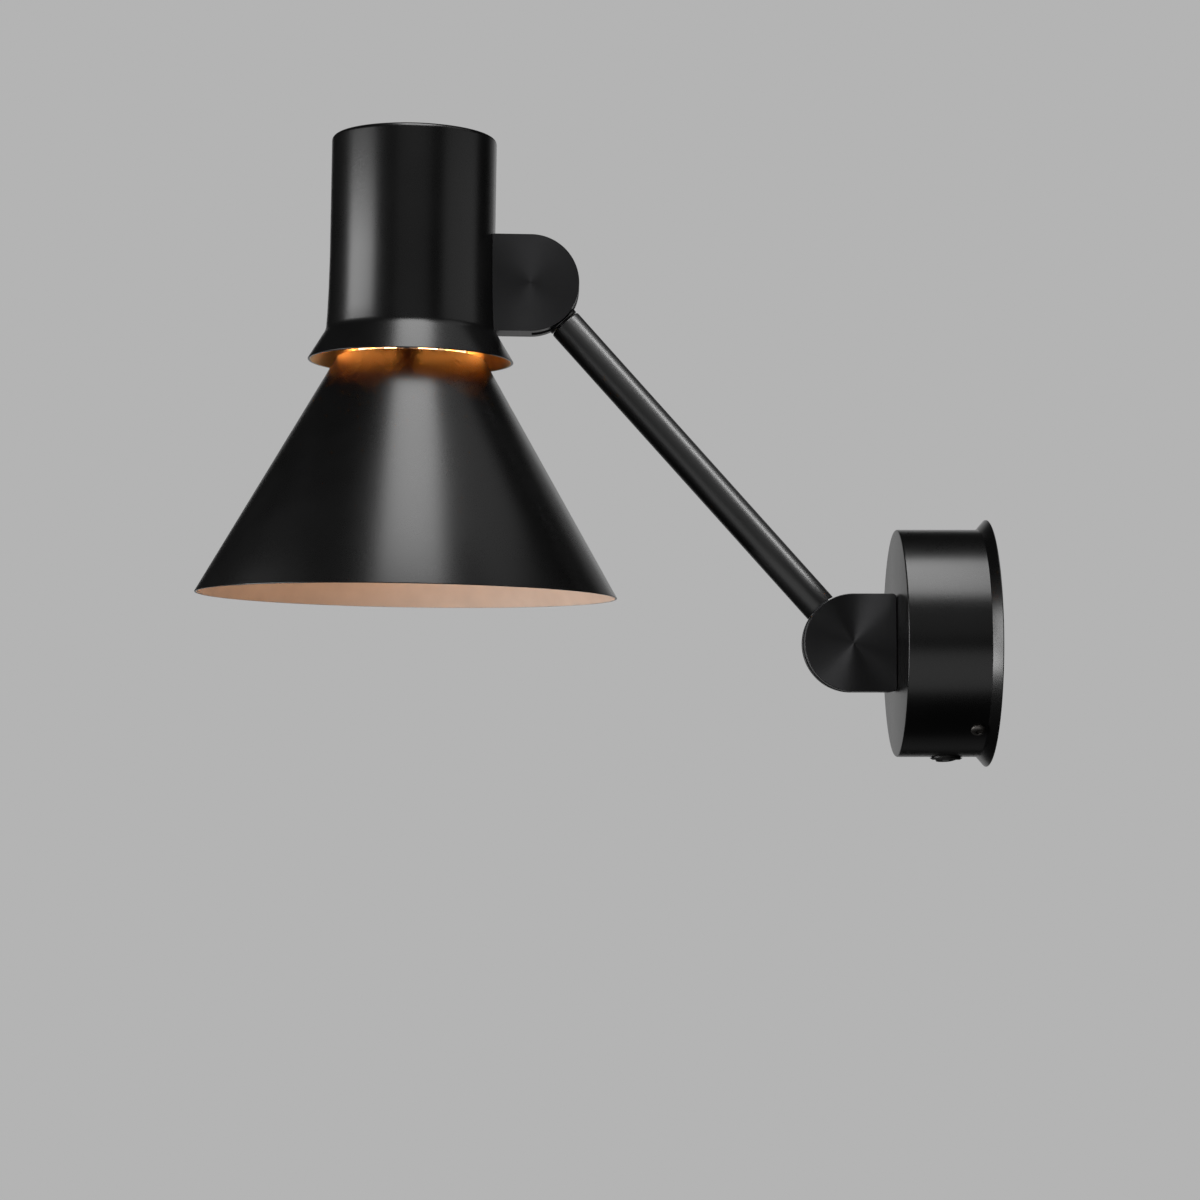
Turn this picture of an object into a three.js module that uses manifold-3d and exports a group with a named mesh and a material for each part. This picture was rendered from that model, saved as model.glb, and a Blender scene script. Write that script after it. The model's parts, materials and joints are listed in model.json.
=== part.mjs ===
// Swing arm wall sconce: a round wall box, a straight tube arm between two D-shaped
// friction knuckles, and a lamp head with a cylindrical cap over a hanging conical shade.
//
// Frame, in millimetres: the origin is the centre of the wall plate's rear face. The wall is
// the plane y = 0 with the room on its -Y side, +Z is up, and every hinge axis runs along X.

import * as THREE from "three";
import { mergeVertices } from "three/addons/utils/BufferGeometryUtils.js";
import Module from "manifold-3d";

const wasm = await Module();
wasm.setup();

// ---------------------------------------------------------------- driving dimensions

const GAP = 0.3; // clearance left between pieces that touch
const M3 = 1.5; // screw shank radii
const M4 = 2;
const M6 = 3;
const M4_HOLE = M4 + GAP;
const M4_HEAD = 3.5;

// Wall box
const BOX_RADIUS = 54;
const BOX_DEPTH = 43.5;
const BOX_WALL = 1.8;
const BOX_FRONT_WALL = 2;
const FLARE_RADIUS = 58.8; // widest point of the flared edge at the wall
const FLARE_DEPTH = 4.9;
const FLARE_LIFT = 0.4; // distance from the flared edge to the wall
const PLATE_RADIUS = 50;
const PLATE_THICKNESS = 2.5;
const WALL_SLOT = { centre: 30, width: 5.2, length: 16 };
const CABLE_ENTRY = { z: 22, radius: 6.5 };
const LUG = { half: 6, depth: 14, thickness: 3.2 }; // bent up from the plate to carry the cover
const EARTH_SCREW = { place: [-20, 0, 26] };
const TERMINAL = { halfWidth: 14, low: -26, high: -8, depth: 17, ways: [-9, 0, 9], wireHole: 2.6 };
const BACKING = { halfWidth: 20, halfHeight: 22, thickness: 2 };
const COVER_SCREW_ANGLE = 40; // degrees to each side of the lowest point
const COVER_SCREW_DEPTH = 9.2; // out from the wall

// Switch under the wall box
const SWITCH_DEPTH = 19.7; // out from the wall
const SWITCH_BEZEL_RADIUS = 7.7;
const SWITCH_BARREL_RADIUS = 6.9;
const ROCKER_RADIUS = 5.3;
const ROCKER_PIVOT = 53; // from the box axis
const ROCKER_TILT = 7; // degrees each side of level
const ROCKER_DOME = 20; // radius of the domed face
const ROCKER_PIN = 0.75;

// Knuckles
const KNUCKLE_RADIUS = 23.2;
const KNUCKLE_HALF = 9.5; // half the thickness, along X
const KNUCKLE_SPLIT = -5.4; // x where the block ends and the rear plate begins
const POCKET_RADIUS = 20;
const POCKET_FRONT = 4.6; // x of the pocket's floor
const POCKET_REACH = 12.5; // how far the pocket runs towards the fixed side
const WINDOW_HALF = 3.9; // half width of the slot that the tongue moves in
const WINDOW_ANGLE = 88; // degrees each side of the round end's middle
const MOUNT_SCREW_OFFSET = 14; // above and below the pivot
const PLATE_SCREW_OFFSET = 19.7; // the same, for the two small screws in the rear plate

// Lead
const LEAD_RADIUS = 2;
const SWITCH_LEAD_RADIUS = 1.3;
const LEAD_HOLE = 3.2;
const BOX_LEAD_HOLE = 4.3; // where the lead leaves the wall box

// Arm
const ARM_LENGTH = 229.5; // pivot to pivot
const ARM_ELEVATION = 48.2; // degrees above level at rest
const BASE_PIVOT_DEPTH = 64.2; // out from the wall
const TUBE_RADIUS = 8;
const TUBE_BORE = 6.5;
const TONGUE_HALF = 3.5;
const HUB_RADIUS = 8.5;
const COLLAR_END = 24; // from the head pivot to the swivel groove
const TUBE_END = 24.6; // from the head pivot to the tube's upper end

// Lamp head
const HEAD_LEAN = 0.8; // degrees that the lamp's lower end leans away from the wall
const HEAD_REACH = 56.7; // head pivot to lamp axis
const CAP_RADIUS = 39.4;
const CAP_TOP = 69.7; // heights are from the level of the head pivot, along the lamp axis
const CAP_WALL = 1.6;
const CREASE = { radius: 40.6, z: -23.3 };
const SKIRT = { radius: 49.2, z: -37.5 };
const SHADE_TOP = { radius: 35.4, z: -36 };
const SHADE_RIM = { radius: 100.2, z: -149.6 };
const SHADE_WALL = 1.2;
const SHADE_FLANGE_RADIUS = 29; // inner edge of the flange turned in at the top
const SPIDER_ARM_WIDTH = 10;
const BULB = { radius: 30, centre: -79, neck: 12.6, top: -30 };

// ---------------------------------------------------------------- colours

// Each call gives a new material, so that no two meshes share one.
const finish = (color, roughness, metalness) => () =>
  new THREE.MeshStandardMaterial({ color, roughness, metalness });

const paint = finish(0x151516, 0.42, 0.2);
const anodised = finish(0x1c1c1e, 0.35, 0.8);
const steel = finish(0xb9bbbe, 0.35, 1);
const blackSteel = finish(0x2a2a2c, 0.4, 0.9);
const brass = finish(0xc9a24a, 0.3, 1);
const plastic = finish(0x0e0e0f, 0.5, 0);
const whitePlastic = finish(0xe6e4de, 0.5, 0);
const nylon = finish(0xd8d4c8, 0.6, 0);
const rubber = finish(0x1a1a1a, 0.7, 0);
const glass = finish(0xfff1dc, 0.25, 0);

// ---------------------------------------------------------------- solids

const degrees = THREE.MathUtils.degToRad;

// A closed three.js geometry as a manifold-3d solid with its faces turned outwards.
function toSolid(geometry) {
  const bare = geometry.index ? geometry.toNonIndexed() : geometry.clone();
  bare.deleteAttribute("normal");
  bare.deleteAttribute("uv");
  const merged = mergeVertices(bare, 1e-4);
  const corners = merged.index.array;
  const faces = [];
  for (let i = 0; i < corners.length; i += 3) {
    const [a, b, c] = [corners[i], corners[i + 1], corners[i + 2]];
    if (a !== b && b !== c && c !== a) faces.push([a, b, c]);
  }
  const build = (triangles) =>
    new wasm.Manifold(
      new wasm.Mesh({
        numProp: 3,
        vertProperties: new Float32Array(merged.attributes.position.array),
        triVerts: new Uint32Array(triangles.flat()),
      }),
    );
  const made = build(faces);
  return made.volume() > 0 ? made : build(faces.map(([a, b, c]) => [a, c, b]));
}

// A manifold-3d solid back as a three.js geometry with flat-shaded faces.
function toGeometry(solid) {
  const { numProp, vertProperties, triVerts } = solid.getMesh();
  const places = new Float32Array((vertProperties.length / numProp) * 3);
  for (let i = 0; i < places.length / 3; i++)
    for (let k = 0; k < 3; k++) places[3 * i + k] = vertProperties[numProp * i + k];
  const indexed = new THREE.BufferGeometry();
  indexed.setAttribute("position", new THREE.BufferAttribute(places, 3));
  indexed.setIndex(new THREE.BufferAttribute(new Uint32Array(triVerts), 1));
  const flat = indexed.toNonIndexed();
  flat.computeVertexNormals();
  return flat;
}

const join = (first, ...others) => others.reduce((whole, next) => whole.add(next), first);
const cut = (first, ...others) => others.reduce((whole, next) => whole.subtract(next), first);

// The three ways a shape drawn flat stands in space: its normal along X, Y or Z.
const AXES = {
  x: new THREE.Matrix4().makeBasis(
    new THREE.Vector3(0, 1, 0),
    new THREE.Vector3(0, 0, 1),
    new THREE.Vector3(1, 0, 0),
  ),
  y: new THREE.Matrix4().makeBasis(
    new THREE.Vector3(0, 0, 1),
    new THREE.Vector3(1, 0, 0),
    new THREE.Vector3(0, 1, 0),
  ),
  z: new THREE.Matrix4(),
};

// A flat shape made solid from one height to another along an axis. The shape is drawn in
// (y, z) for axis x, in (z, x) for axis y and in (x, y) for axis z.
function prism(axis, shape, from, to) {
  const geometry = new THREE.ExtrudeGeometry(shape, { depth: to - from, bevelEnabled: false });
  return toSolid(geometry.translate(0, 0, from).applyMatrix4(AXES[axis]));
}

// A profile of [radius, height] points turned about an axis through the origin.
function turned(axis, profile, segments = 48) {
  const points = profile.map(([radius, height]) => new THREE.Vector2(radius, height));
  const geometry = new THREE.LatheGeometry(points, segments).rotateX(Math.PI / 2);
  return toSolid(geometry.applyMatrix4(AXES[axis]));
}

// A round bar along an axis, at a place across that axis.
function bar(axis, radius, from, to, place = [0, 0, 0], segments = 16) {
  const side = [
    [0, from],
    [radius, from],
    [radius, to],
    [0, to],
  ];
  return turned(axis, side, segments).translate(place);
}

// A round bar with a round hole through it.
function ring(axis, inner, outer, from, to, segments = 24) {
  const side = [
    [inner, from],
    [outer, from],
    [outer, to],
    [inner, to],
    [inner, from],
  ];
  return turned(axis, side, segments);
}

function block(low, high) {
  const size = high.map((value, i) => value - low[i]);
  const middle = high.map((value, i) => (value + low[i]) / 2);
  return toSolid(new THREE.BoxGeometry(...size).translate(...middle));
}

// Points along a round arc, for profiles: from one angle to another in degrees.
function arc(centreRadius, centreHeight, radius, from, to, steps) {
  return Array.from({ length: steps + 1 }, (_, i) => {
    const angle = degrees(from + ((to - from) * i) / steps);
    return [centreRadius + radius * Math.cos(angle), centreHeight + radius * Math.sin(angle)];
  });
}

const outline = (points) => new THREE.Shape(points.map(([x, y]) => new THREE.Vector2(x, y)));

// A wedge of a disc about the origin, open by half an angle to each side of its first axis.
const sector = (half) => outline([[0, 0], ...arc(0, 0, 10, -half, half, 12)]);

// A lead of round section along a smooth curve through the given points.
function lead(points, radius = LEAD_RADIUS) {
  const places = points.map((point) => new THREE.Vector3(...point));
  const curve = new THREE.CatmullRomCurve3(places, false, "centripetal");
  const steps = Math.max(1, Math.round(curve.getLength() / (radius * 5)));
  const section = outline(arc(0, 0, radius, 0, 315, 7));
  return toSolid(
    new THREE.ExtrudeGeometry(section, { steps, bevelEnabled: false, extrudePath: curve }),
  );
}

// A machine screw along +Z: its head stands on z = 0 and its shank runs down to -length.
function screw({ head, height, shank, length, socket = 0, domed = false }) {
  const dome = [
    [head, height * 0.35],
    [head * 0.8, height * 0.75],
    [head * 0.45, height * 0.96],
    [0, height],
  ];
  const flat = [
    [head, height],
    [0, height],
  ];
  const shankSide = [
    [0, -length],
    [shank, -length],
    [shank, 0],
    [head, 0],
  ];
  const body = turned("z", [...shankSide, ...(domed ? dome : flat)], domed ? 20 : 12);
  if (!socket) return body;
  return cut(body, bar("z", socket, height * 0.4, height + 1, [0, 0, 0], 6));
}

// ---------------------------------------------------------------- the object as a tree

function named(name, solid, material, group) {
  const mesh = new THREE.Mesh(toGeometry(solid), material);
  mesh.name = name;
  group.add(mesh);
  return mesh;
}

// The outside of the cap and its skirt, from the top corner down to the skirt's edge.
function capOutline(offset = 0) {
  const corner = 2;
  const body = [
    ...arc(CAP_RADIUS - corner, CAP_TOP - corner, corner, 90, 0, 3),
    [CAP_RADIUS, 12],
    [CAP_RADIUS + 0.3, -4],
    [CAP_RADIUS + 0.7, -15],
    [CREASE.radius, CREASE.z],
    [SKIRT.radius, SKIRT.z],
  ];
  return body.map(([radius, height]) => [radius + offset, height]);
}

// Knuckle pieces stand with the pivot at the origin, the clean face at +X and the side that
// is screwed to its neighbour towards +Y.

// The D outline: a half circle round the pivot, then straight to the fixed side.
function dShape(reach) {
  const corner = 2;
  return outline([
    ...arc(0, 0, KNUCKLE_RADIUS, 90, 270, 24),
    ...arc(reach - corner, -KNUCKLE_RADIUS + corner, corner, -90, 0, 3),
    ...arc(reach - corner, KNUCKLE_RADIUS - corner, corner, 0, 90, 3),
  ]);
}

// The stretch of the rim that is cut away for the tongue to move in.
function windowShape() {
  return outline([
    ...arc(0, 0, KNUCKLE_RADIUS + 3, 180 - WINDOW_ANGLE, 180 + WINDOW_ANGLE, 20),
    ...arc(0, 0, POCKET_RADIUS - 3, 180 + WINDOW_ANGLE, 180 - WINDOW_ANGLE, 12),
  ]);
}

function pocketShape() {
  const half = THREE.MathUtils.radToDeg(Math.acos(POCKET_REACH / POCKET_RADIUS));
  return outline(arc(0, 0, POCKET_RADIUS, half, 360 - half, 24));
}

const PLATE_SCREW = { head: 2.7, headHeight: 1.5, length: 9, recess: 2.1 };
const PIVOT_SCREW = { head: 5.2, headHeight: 2.3, tip: 7.2 };
const PIVOT_HOLE = M6 + GAP;

// The milled block: clean face, open pocket behind it and the slot round its rim.
function knuckleBody(reach, plateScrewY) {
  let body = cut(
    prism("x", dShape(reach), KNUCKLE_SPLIT, KNUCKLE_HALF),
    prism("x", pocketShape(), KNUCKLE_SPLIT - 1, POCKET_FRONT),
    prism("x", windowShape(), -WINDOW_HALF, WINDOW_HALF),
    bar("x", PIVOT_HOLE, POCKET_FRONT - 1, PIVOT_SCREW.tip + GAP),
    bar("y", LEAD_HOLE, POCKET_REACH - 1, reach + 1),
  );
  for (const side of [-1, 1]) {
    body = cut(
      body,
      bar("y", M4_HOLE, POCKET_REACH - 1, reach + 1, [0, 0, side * MOUNT_SCREW_OFFSET]),
      bar("x", M3 + GAP, KNUCKLE_SPLIT - 1, 3, [0, plateScrewY, side * PLATE_SCREW_OFFSET]),
    );
  }
  return body;
}

function knucklePlate(reach, plateScrewY) {
  const rear = -KNUCKLE_HALF;
  let plate = cut(
    prism("x", dShape(reach), rear, KNUCKLE_SPLIT - GAP),
    bar("x", PIVOT_HOLE, rear - 1, KNUCKLE_SPLIT),
    bar("x", PIVOT_SCREW.head + GAP, rear - 1, rear + PIVOT_SCREW.headHeight + 2 * GAP),
  );
  for (const side of [-1, 1]) {
    const place = [0, plateScrewY, side * PLATE_SCREW_OFFSET];
    plate = cut(
      plate,
      bar("x", M3 + GAP, rear - 1, KNUCKLE_SPLIT, place),
      bar("x", PLATE_SCREW.head + GAP, rear - 1, rear + PLATE_SCREW.recess, place),
    );
  }
  return plate;
}

// Everything that a knuckle is made of, except the tongue that turns in it.
function addKnuckle(prefix, group, { reach, plateScrewY, endCut }) {
  const trim = (solid) => (endCut ? cut(solid, endCut) : solid);
  named(prefix + "_knuckle_body", trim(knuckleBody(reach, plateScrewY)), anodised(), group);
  named(prefix + "_knuckle_plate", trim(knucklePlate(reach, plateScrewY)), anodised(), group);

  [1, -1].forEach((side, i) => {
    const small = screw({
      head: PLATE_SCREW.head,
      height: PLATE_SCREW.headHeight,
      shank: M3,
      length: PLATE_SCREW.length,
      socket: 1.2,
    });
    const mesh = named(prefix + "_plate_screw_" + (i + 1), small, blackSteel(), group);
    const seat = -KNUCKLE_HALF + PLATE_SCREW.recess - GAP;
    mesh.rotation.y = -Math.PI / 2;
    mesh.position.set(seat, plateScrewY, side * PLATE_SCREW_OFFSET);
  });

  const pivot = screw({
    head: PIVOT_SCREW.head,
    height: PIVOT_SCREW.headHeight,
    shank: M6,
    length: PIVOT_SCREW.tip + KNUCKLE_HALF - PIVOT_SCREW.headHeight - GAP,
    socket: 2.6,
  });
  const pivotMesh = named(prefix + "_pivot_screw", pivot, blackSteel(), group);
  pivotMesh.rotation.y = -Math.PI / 2;
  pivotMesh.position.x = -KNUCKLE_HALF + PIVOT_SCREW.headHeight + GAP;

  const inner = PIVOT_HOLE + 0.1;
  const outer = HUB_RADIUS - 0.3;
  const nearFace = TONGUE_HALF + GAP;
  const farFace = nearFace + 0.5;
  named(prefix + "_friction_washer_front", ring("x", inner, outer, nearFace, farFace), nylon(), group);
  named(prefix + "_friction_washer_rear", ring("x", inner, outer, -farFace, -nearFace), nylon(), group);
  const dish = [
    [inner, -farFace - 0.7],
    [outer, -farFace - 1.1],
    [outer, -farFace - 0.7],
    [inner, -farFace - GAP],
    [inner, -farFace - 0.7],
  ];
  named(prefix + "_disc_spring", turned("x", dish, 32), steel(), group);
}

// The tongue that turns between the washers: hub at the origin, neck along +Z. The lead
// comes down the bore and leaves through a window beside the hub.
const TONGUE = { neck: 5.1, windowFrom: 12.5, windowTo: 17, bore: 2.4, bush: 4.4 };

function tongueHead(neckEnd) {
  return join(
    bar("x", HUB_RADIUS, -TONGUE_HALF, TONGUE_HALF, [0, 0, 0], 32),
    block([-TONGUE_HALF, -TONGUE.neck, 0], [TONGUE_HALF, TONGUE.neck, neckEnd]),
  );
}

function tongueHoles(end) {
  return join(
    bar("x", TONGUE.bush + GAP, -TONGUE_HALF - 1, TONGUE_HALF + 1),
    block([-TONGUE_HALF - 1, -2.6, TONGUE.windowFrom], [TONGUE_HALF + 1, 2.6, TONGUE.windowTo]),
    bar("z", TONGUE.bore, TONGUE.windowTo - 1, end + 1, [0, 0, 0]),
  );
}

// ---------------------------------------------------------------- wall box

const root = new THREE.Group();

const boxGroup = new THREE.Group();
root.add(boxGroup);

const TERMINAL_SCREW_PLACE = [0, 0, (TERMINAL.low + TERMINAL.high) / 2];

// Wall plate with its three bent lugs; two of them take the cover screws.
function wallPlate() {
  let plate = bar("y", PLATE_RADIUS, -PLATE_THICKNESS, 0, [0, 0, 0], 48);
  const outside = -PLATE_RADIUS - 0.6;
  const lug = block(
    [-LUG.half, -LUG.depth, outside],
    [LUG.half, -PLATE_THICKNESS + 0.5, outside + LUG.thickness],
  );
  const foot = block([-LUG.half, -PLATE_THICKNESS, outside], [LUG.half, -0.5, -PLATE_RADIUS + 6]);
  const screwHole = bar("z", M4_HOLE, -BOX_RADIUS, -PLATE_RADIUS + 6, [0, -COVER_SCREW_DEPTH, 0]);
  for (const angle of [180, -COVER_SCREW_ANGLE, COVER_SCREW_ANGLE]) {
    plate = plate.add(join(lug, foot).rotate([0, angle, 0]));
    if (angle !== 180) plate = plate.subtract(screwHole.rotate([0, angle, 0]));
  }
  const half = WALL_SLOT.length / 2 - WALL_SLOT.width / 2;
  for (const side of [-1, 1]) {
    const straight = block(
      [side * WALL_SLOT.centre - half, -PLATE_THICKNESS - 1, -WALL_SLOT.width / 2],
      [side * WALL_SLOT.centre + half, 1, WALL_SLOT.width / 2],
    );
    const ends = [-half, half].map((dx) =>
      bar("y", WALL_SLOT.width / 2, -PLATE_THICKNESS - 1, 1, [side * WALL_SLOT.centre + dx, 0, 0]),
    );
    plate = cut(plate, join(straight, ...ends));
  }
  const entry = bar("y", CABLE_ENTRY.radius, -PLATE_THICKNESS - 1, 1, [0, 0, CABLE_ENTRY.z]);
  const earthHole = bar("y", M4_HOLE, -PLATE_THICKNESS - 1, 1, EARTH_SCREW.place);
  const blockHole = bar("y", M3 + GAP, -PLATE_THICKNESS - 1, 1, TERMINAL_SCREW_PLACE);
  return cut(plate, entry, earthHole, blockHole);
}

function wallCover() {
  const edge = 0.8;
  const inner = BOX_RADIUS - BOX_WALL;
  const profile = [
    [0, -BOX_DEPTH],
    ...arc(BOX_RADIUS - edge, -BOX_DEPTH + edge, edge, -90, 0, 3),
    [BOX_RADIUS, -FLARE_DEPTH],
    [FLARE_RADIUS, -FLARE_LIFT - 0.3],
    [FLARE_RADIUS - 0.5, -FLARE_LIFT],
    [FLARE_RADIUS - 1.6, -FLARE_LIFT],
    [inner, -FLARE_DEPTH - 0.1],
    [inner, -BOX_DEPTH + BOX_FRONT_WALL],
    [0, -BOX_DEPTH + BOX_FRONT_WALL],
  ];
  let cover = turned("y", profile, 56);
  cover = cut(cover, bar("y", BOX_LEAD_HOLE, -BOX_DEPTH - 1, -BOX_DEPTH + 3));
  const low = -BOX_RADIUS - 2;
  const screwHole = bar("z", M4_HOLE, low, low + 6, [0, -COVER_SCREW_DEPTH, 0]);
  for (const side of [-1, 1]) {
    cover = cut(
      cover,
      bar("y", M4_HOLE, -BOX_DEPTH - 1, -BOX_DEPTH + 3, [0, 0, side * MOUNT_SCREW_OFFSET]),
      screwHole.rotate([0, side * COVER_SCREW_ANGLE, 0]),
    );
  }
  return cut(cover, bar("z", SWITCH_BARREL_RADIUS + GAP, low, low + 8, [0, -SWITCH_DEPTH, 0], 32));
}

named("wall_plate", wallPlate(), steel(), boxGroup);
named("wall_cover", wallCover(), paint(), boxGroup);

for (const [name, side] of [["cover_screw_left", -1], ["cover_screw_right", 1]]) {
  const button = screw({ head: M4_HEAD, height: 1.7, shank: M4, length: 9, socket: 1.5, domed: true });
  const angle = degrees(side * COVER_SCREW_ANGLE);
  const mesh = named(name, button, blackSteel(), boxGroup);
  mesh.rotation.set(0, Math.PI - angle, 0);
  const seat = BOX_RADIUS + 0.1;
  mesh.position.set(Math.sin(angle) * seat, -COVER_SCREW_DEPTH, -Math.cos(angle) * seat);
}

// The plate behind the box front that spreads the arm's load.
const backingFront = -BOX_DEPTH + BOX_FRONT_WALL + GAP;
const backingRear = backingFront + BACKING.thickness;
function backingPlate() {
  const { halfWidth, halfHeight } = BACKING;
  const [from, to] = [backingFront - 1, backingRear + 1];
  let plate = block([-halfWidth, backingFront, -halfHeight], [halfWidth, backingRear, halfHeight]);
  plate = cut(plate, bar("y", BOX_LEAD_HOLE, from, to));
  for (const side of [-1, 1])
    plate = cut(plate, bar("y", M4_HOLE, from, to, [0, 0, side * MOUNT_SCREW_OFFSET]));
  return plate;
}
named("backing_plate", backingPlate(), steel(), boxGroup);

for (const [name, side] of [["base_mount_screw_upper", 1], ["base_mount_screw_lower", -1]]) {
  const seat = backingRear + GAP;
  const tip = -BASE_PIVOT_DEPTH + POCKET_REACH + 0.5;
  const long = screw({ head: M4_HEAD, height: 2.5, shank: M4, length: seat - tip, socket: 1.5 });
  const mesh = named(name, long, steel(), boxGroup);
  mesh.rotation.x = -Math.PI / 2;
  mesh.position.set(0, seat, side * MOUNT_SCREW_OFFSET);
}

const terminalY = -PLATE_THICKNESS - GAP - TERMINAL.depth / 2; // depth of the wire holes

// Terminal block on the wall plate, with a wire hole for each of its three ways.
function terminalBlock() {
  const rear = -PLATE_THICKNESS - GAP;
  let body = block(
    [-TERMINAL.halfWidth, rear - TERMINAL.depth, TERMINAL.low],
    [TERMINAL.halfWidth, rear, TERMINAL.high],
  );
  const ends = [
    [TERMINAL.low - 1, TERMINAL.low + 6],
    [TERMINAL.high - 6, TERMINAL.high + 1],
  ];
  for (const x of TERMINAL.ways)
    for (const [from, to] of ends)
      body = cut(body, bar("z", TERMINAL.wireHole, from, to, [x, terminalY, 0], 12));
  const [from, to] = [rear - TERMINAL.depth - 1, rear + 1];
  return cut(body, bar("y", M3 + GAP, from, to, TERMINAL_SCREW_PLACE, 12));
}
named("terminal_block", terminalBlock(), whitePlastic(), boxGroup);

const terminalScrew = named(
  "terminal_block_screw",
  screw({ head: 2.8, height: 1.6, shank: M3, length: TERMINAL.depth + 2 }),
  steel(),
  boxGroup,
);
terminalScrew.rotation.x = Math.PI / 2;
terminalScrew.position.set(0, -PLATE_THICKNESS - TERMINAL.depth - 2 * GAP, TERMINAL_SCREW_PLACE[2]);

const earthScrew = named(
  "earth_screw",
  screw({ head: 3.6, height: 2.2, shank: M4, length: 2.4, socket: 1.5 }),
  brass(),
  boxGroup,
);
earthScrew.rotation.x = Math.PI / 2;
earthScrew.position.set(EARTH_SCREW.place[0], -PLATE_THICKNESS - GAP, EARTH_SCREW.place[2]);

// ---------------------------------------------------------------- switch

const switchGroup = new THREE.Group();
switchGroup.position.set(0, -SWITCH_DEPTH, 0);
boxGroup.add(switchGroup);

function switchHousing() {
  const recess = ROCKER_RADIUS + 0.8;
  const profile = [
    [0, -36],
    [SWITCH_BARREL_RADIUS, -36],
    [SWITCH_BARREL_RADIUS, -BOX_RADIUS - GAP],
    [SWITCH_BEZEL_RADIUS, -BOX_RADIUS - GAP],
    [SWITCH_BEZEL_RADIUS, -BOX_RADIUS - 0.8],
    [SWITCH_BEZEL_RADIUS - 0.4, -BOX_RADIUS - 1.2],
    [recess, -BOX_RADIUS - 1.2],
    [recess, -ROCKER_PIVOT + 3.3],
    [0, -ROCKER_PIVOT + 3.3],
  ];
  return cut(turned("z", profile, 28), bar("x", ROCKER_PIN + GAP, -9, 9, [0, 0, -ROCKER_PIVOT], 12));
}

// A round paddle with a domed face, tipped so that its room-side end stands out.
function rocker() {
  const crown = 3.3; // from the pin to the middle of the domed face
  const half = THREE.MathUtils.radToDeg(Math.asin(ROCKER_RADIUS / ROCKER_DOME));
  const side = outline([
    [-ROCKER_RADIUS, 2],
    ...arc(0, ROCKER_DOME - crown, ROCKER_DOME, -90 - half, -90 + half, 8),
    [ROCKER_RADIUS, 2],
  ]);
  const paddle = prism("x", side, -ROCKER_RADIUS - 1, ROCKER_RADIUS + 1).intersect(
    bar("z", ROCKER_RADIUS, -10, 10, [0, 0, 0], 28),
  );
  return cut(paddle, bar("x", ROCKER_PIN + GAP, -9, 9, [0, 0, 0], 12)).rotate([ROCKER_TILT, 0, 0]);
}

named("switch_housing", switchHousing(), plastic(), switchGroup);
named(
  "switch_nut",
  ring("z", SWITCH_BARREL_RADIUS + GAP, SWITCH_BARREL_RADIUS + 2.8, -51, -48.5),
  plastic(),
  switchGroup,
);
const pinEnd = SWITCH_BARREL_RADIUS - GAP;
const pin = bar("x", ROCKER_PIN, -pinEnd, pinEnd, [0, 0, -ROCKER_PIVOT], 12);
named("switch_pivot_pin", pin, steel(), switchGroup);
const rockerMesh = named("switch_rocker", rocker(), plastic(), switchGroup);
rockerMesh.position.z = -ROCKER_PIVOT;

// ---------------------------------------------------------------- base knuckle

const baseKnuckle = new THREE.Group();
baseKnuckle.position.y = -BASE_PIVOT_DEPTH;
boxGroup.add(baseKnuckle);
const baseReach = BASE_PIVOT_DEPTH - BOX_DEPTH - GAP;
addKnuckle("base", baseKnuckle, { reach: baseReach, plateScrewY: 16 });

// Lead from the terminal block to the knuckle's pocket, and from the switch to the block.
named(
  "lead_wall",
  lead([
    [0, -BASE_PIVOT_DEPTH + 10.5, 0],
    [0, -BOX_DEPTH, 0],
    [0, -30, 0],
    [0, terminalY - 8, 0],
    [0, terminalY - 2.6, -1.9],
    [0, terminalY, -6],
    [0, terminalY, TERMINAL.high - 5],
  ]),
  rubber(),
  boxGroup,
);
named(
  "lead_switch",
  lead(
    [
      [0, terminalY, TERMINAL.low + 5],
      [0, terminalY, TERMINAL.low - 1],
      [0, terminalY - 2.2, -30],
      [0, -SWITCH_DEPTH + 2.2, -31.4],
      [0, -SWITCH_DEPTH, -34],
      [0, -SWITCH_DEPTH, -35.6],
    ],
    SWITCH_LEAD_RADIUS,
  ),
  rubber(),
  boxGroup,
);

// ---------------------------------------------------------------- arm

// The arm's own frame: base pivot at the origin, the tube along +Z.
const arm = new THREE.Group();
arm.position.y = -BASE_PIVOT_DEPTH;
arm.rotation.x = degrees(90 - ARM_ELEVATION);
root.add(arm);

const LOWER_SPIGOT = { from: 25.5, to: 48 };

function armTube() {
  const end = ARM_LENGTH - TUBE_END;
  const edge = 0.8;
  const profile = [
    [TUBE_BORE, 15],
    [TUBE_RADIUS, 15],
    ...arc(TUBE_RADIUS - edge, end - edge, edge, 0, 90, 3),
    [TUBE_BORE, end],
    [TUBE_BORE, 15],
  ];
  return cut(turned("z", profile, 32), bar("x", KNUCKLE_RADIUS + 0.5, -10, 10, [0, 0, 0], 48));
}

function lowerTongue() {
  const spigot = bar("z", TUBE_BORE - GAP, LOWER_SPIGOT.from, LOWER_SPIGOT.to, [0, 0, 0], 24);
  return cut(join(tongueHead(LOWER_SPIGOT.from + 1), spigot), tongueHoles(LOWER_SPIGOT.to));
}

const pivotBush = () => ring("x", PIVOT_HOLE, TONGUE.bush, -TONGUE_HALF + 0.1, TONGUE_HALF - 0.1, 24);

named("arm_tube", armTube(), paint(), arm);
named("lower_tongue", lowerTongue(), steel(), arm);
named("lower_pivot_bush", pivotBush(), brass(), arm);

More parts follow.
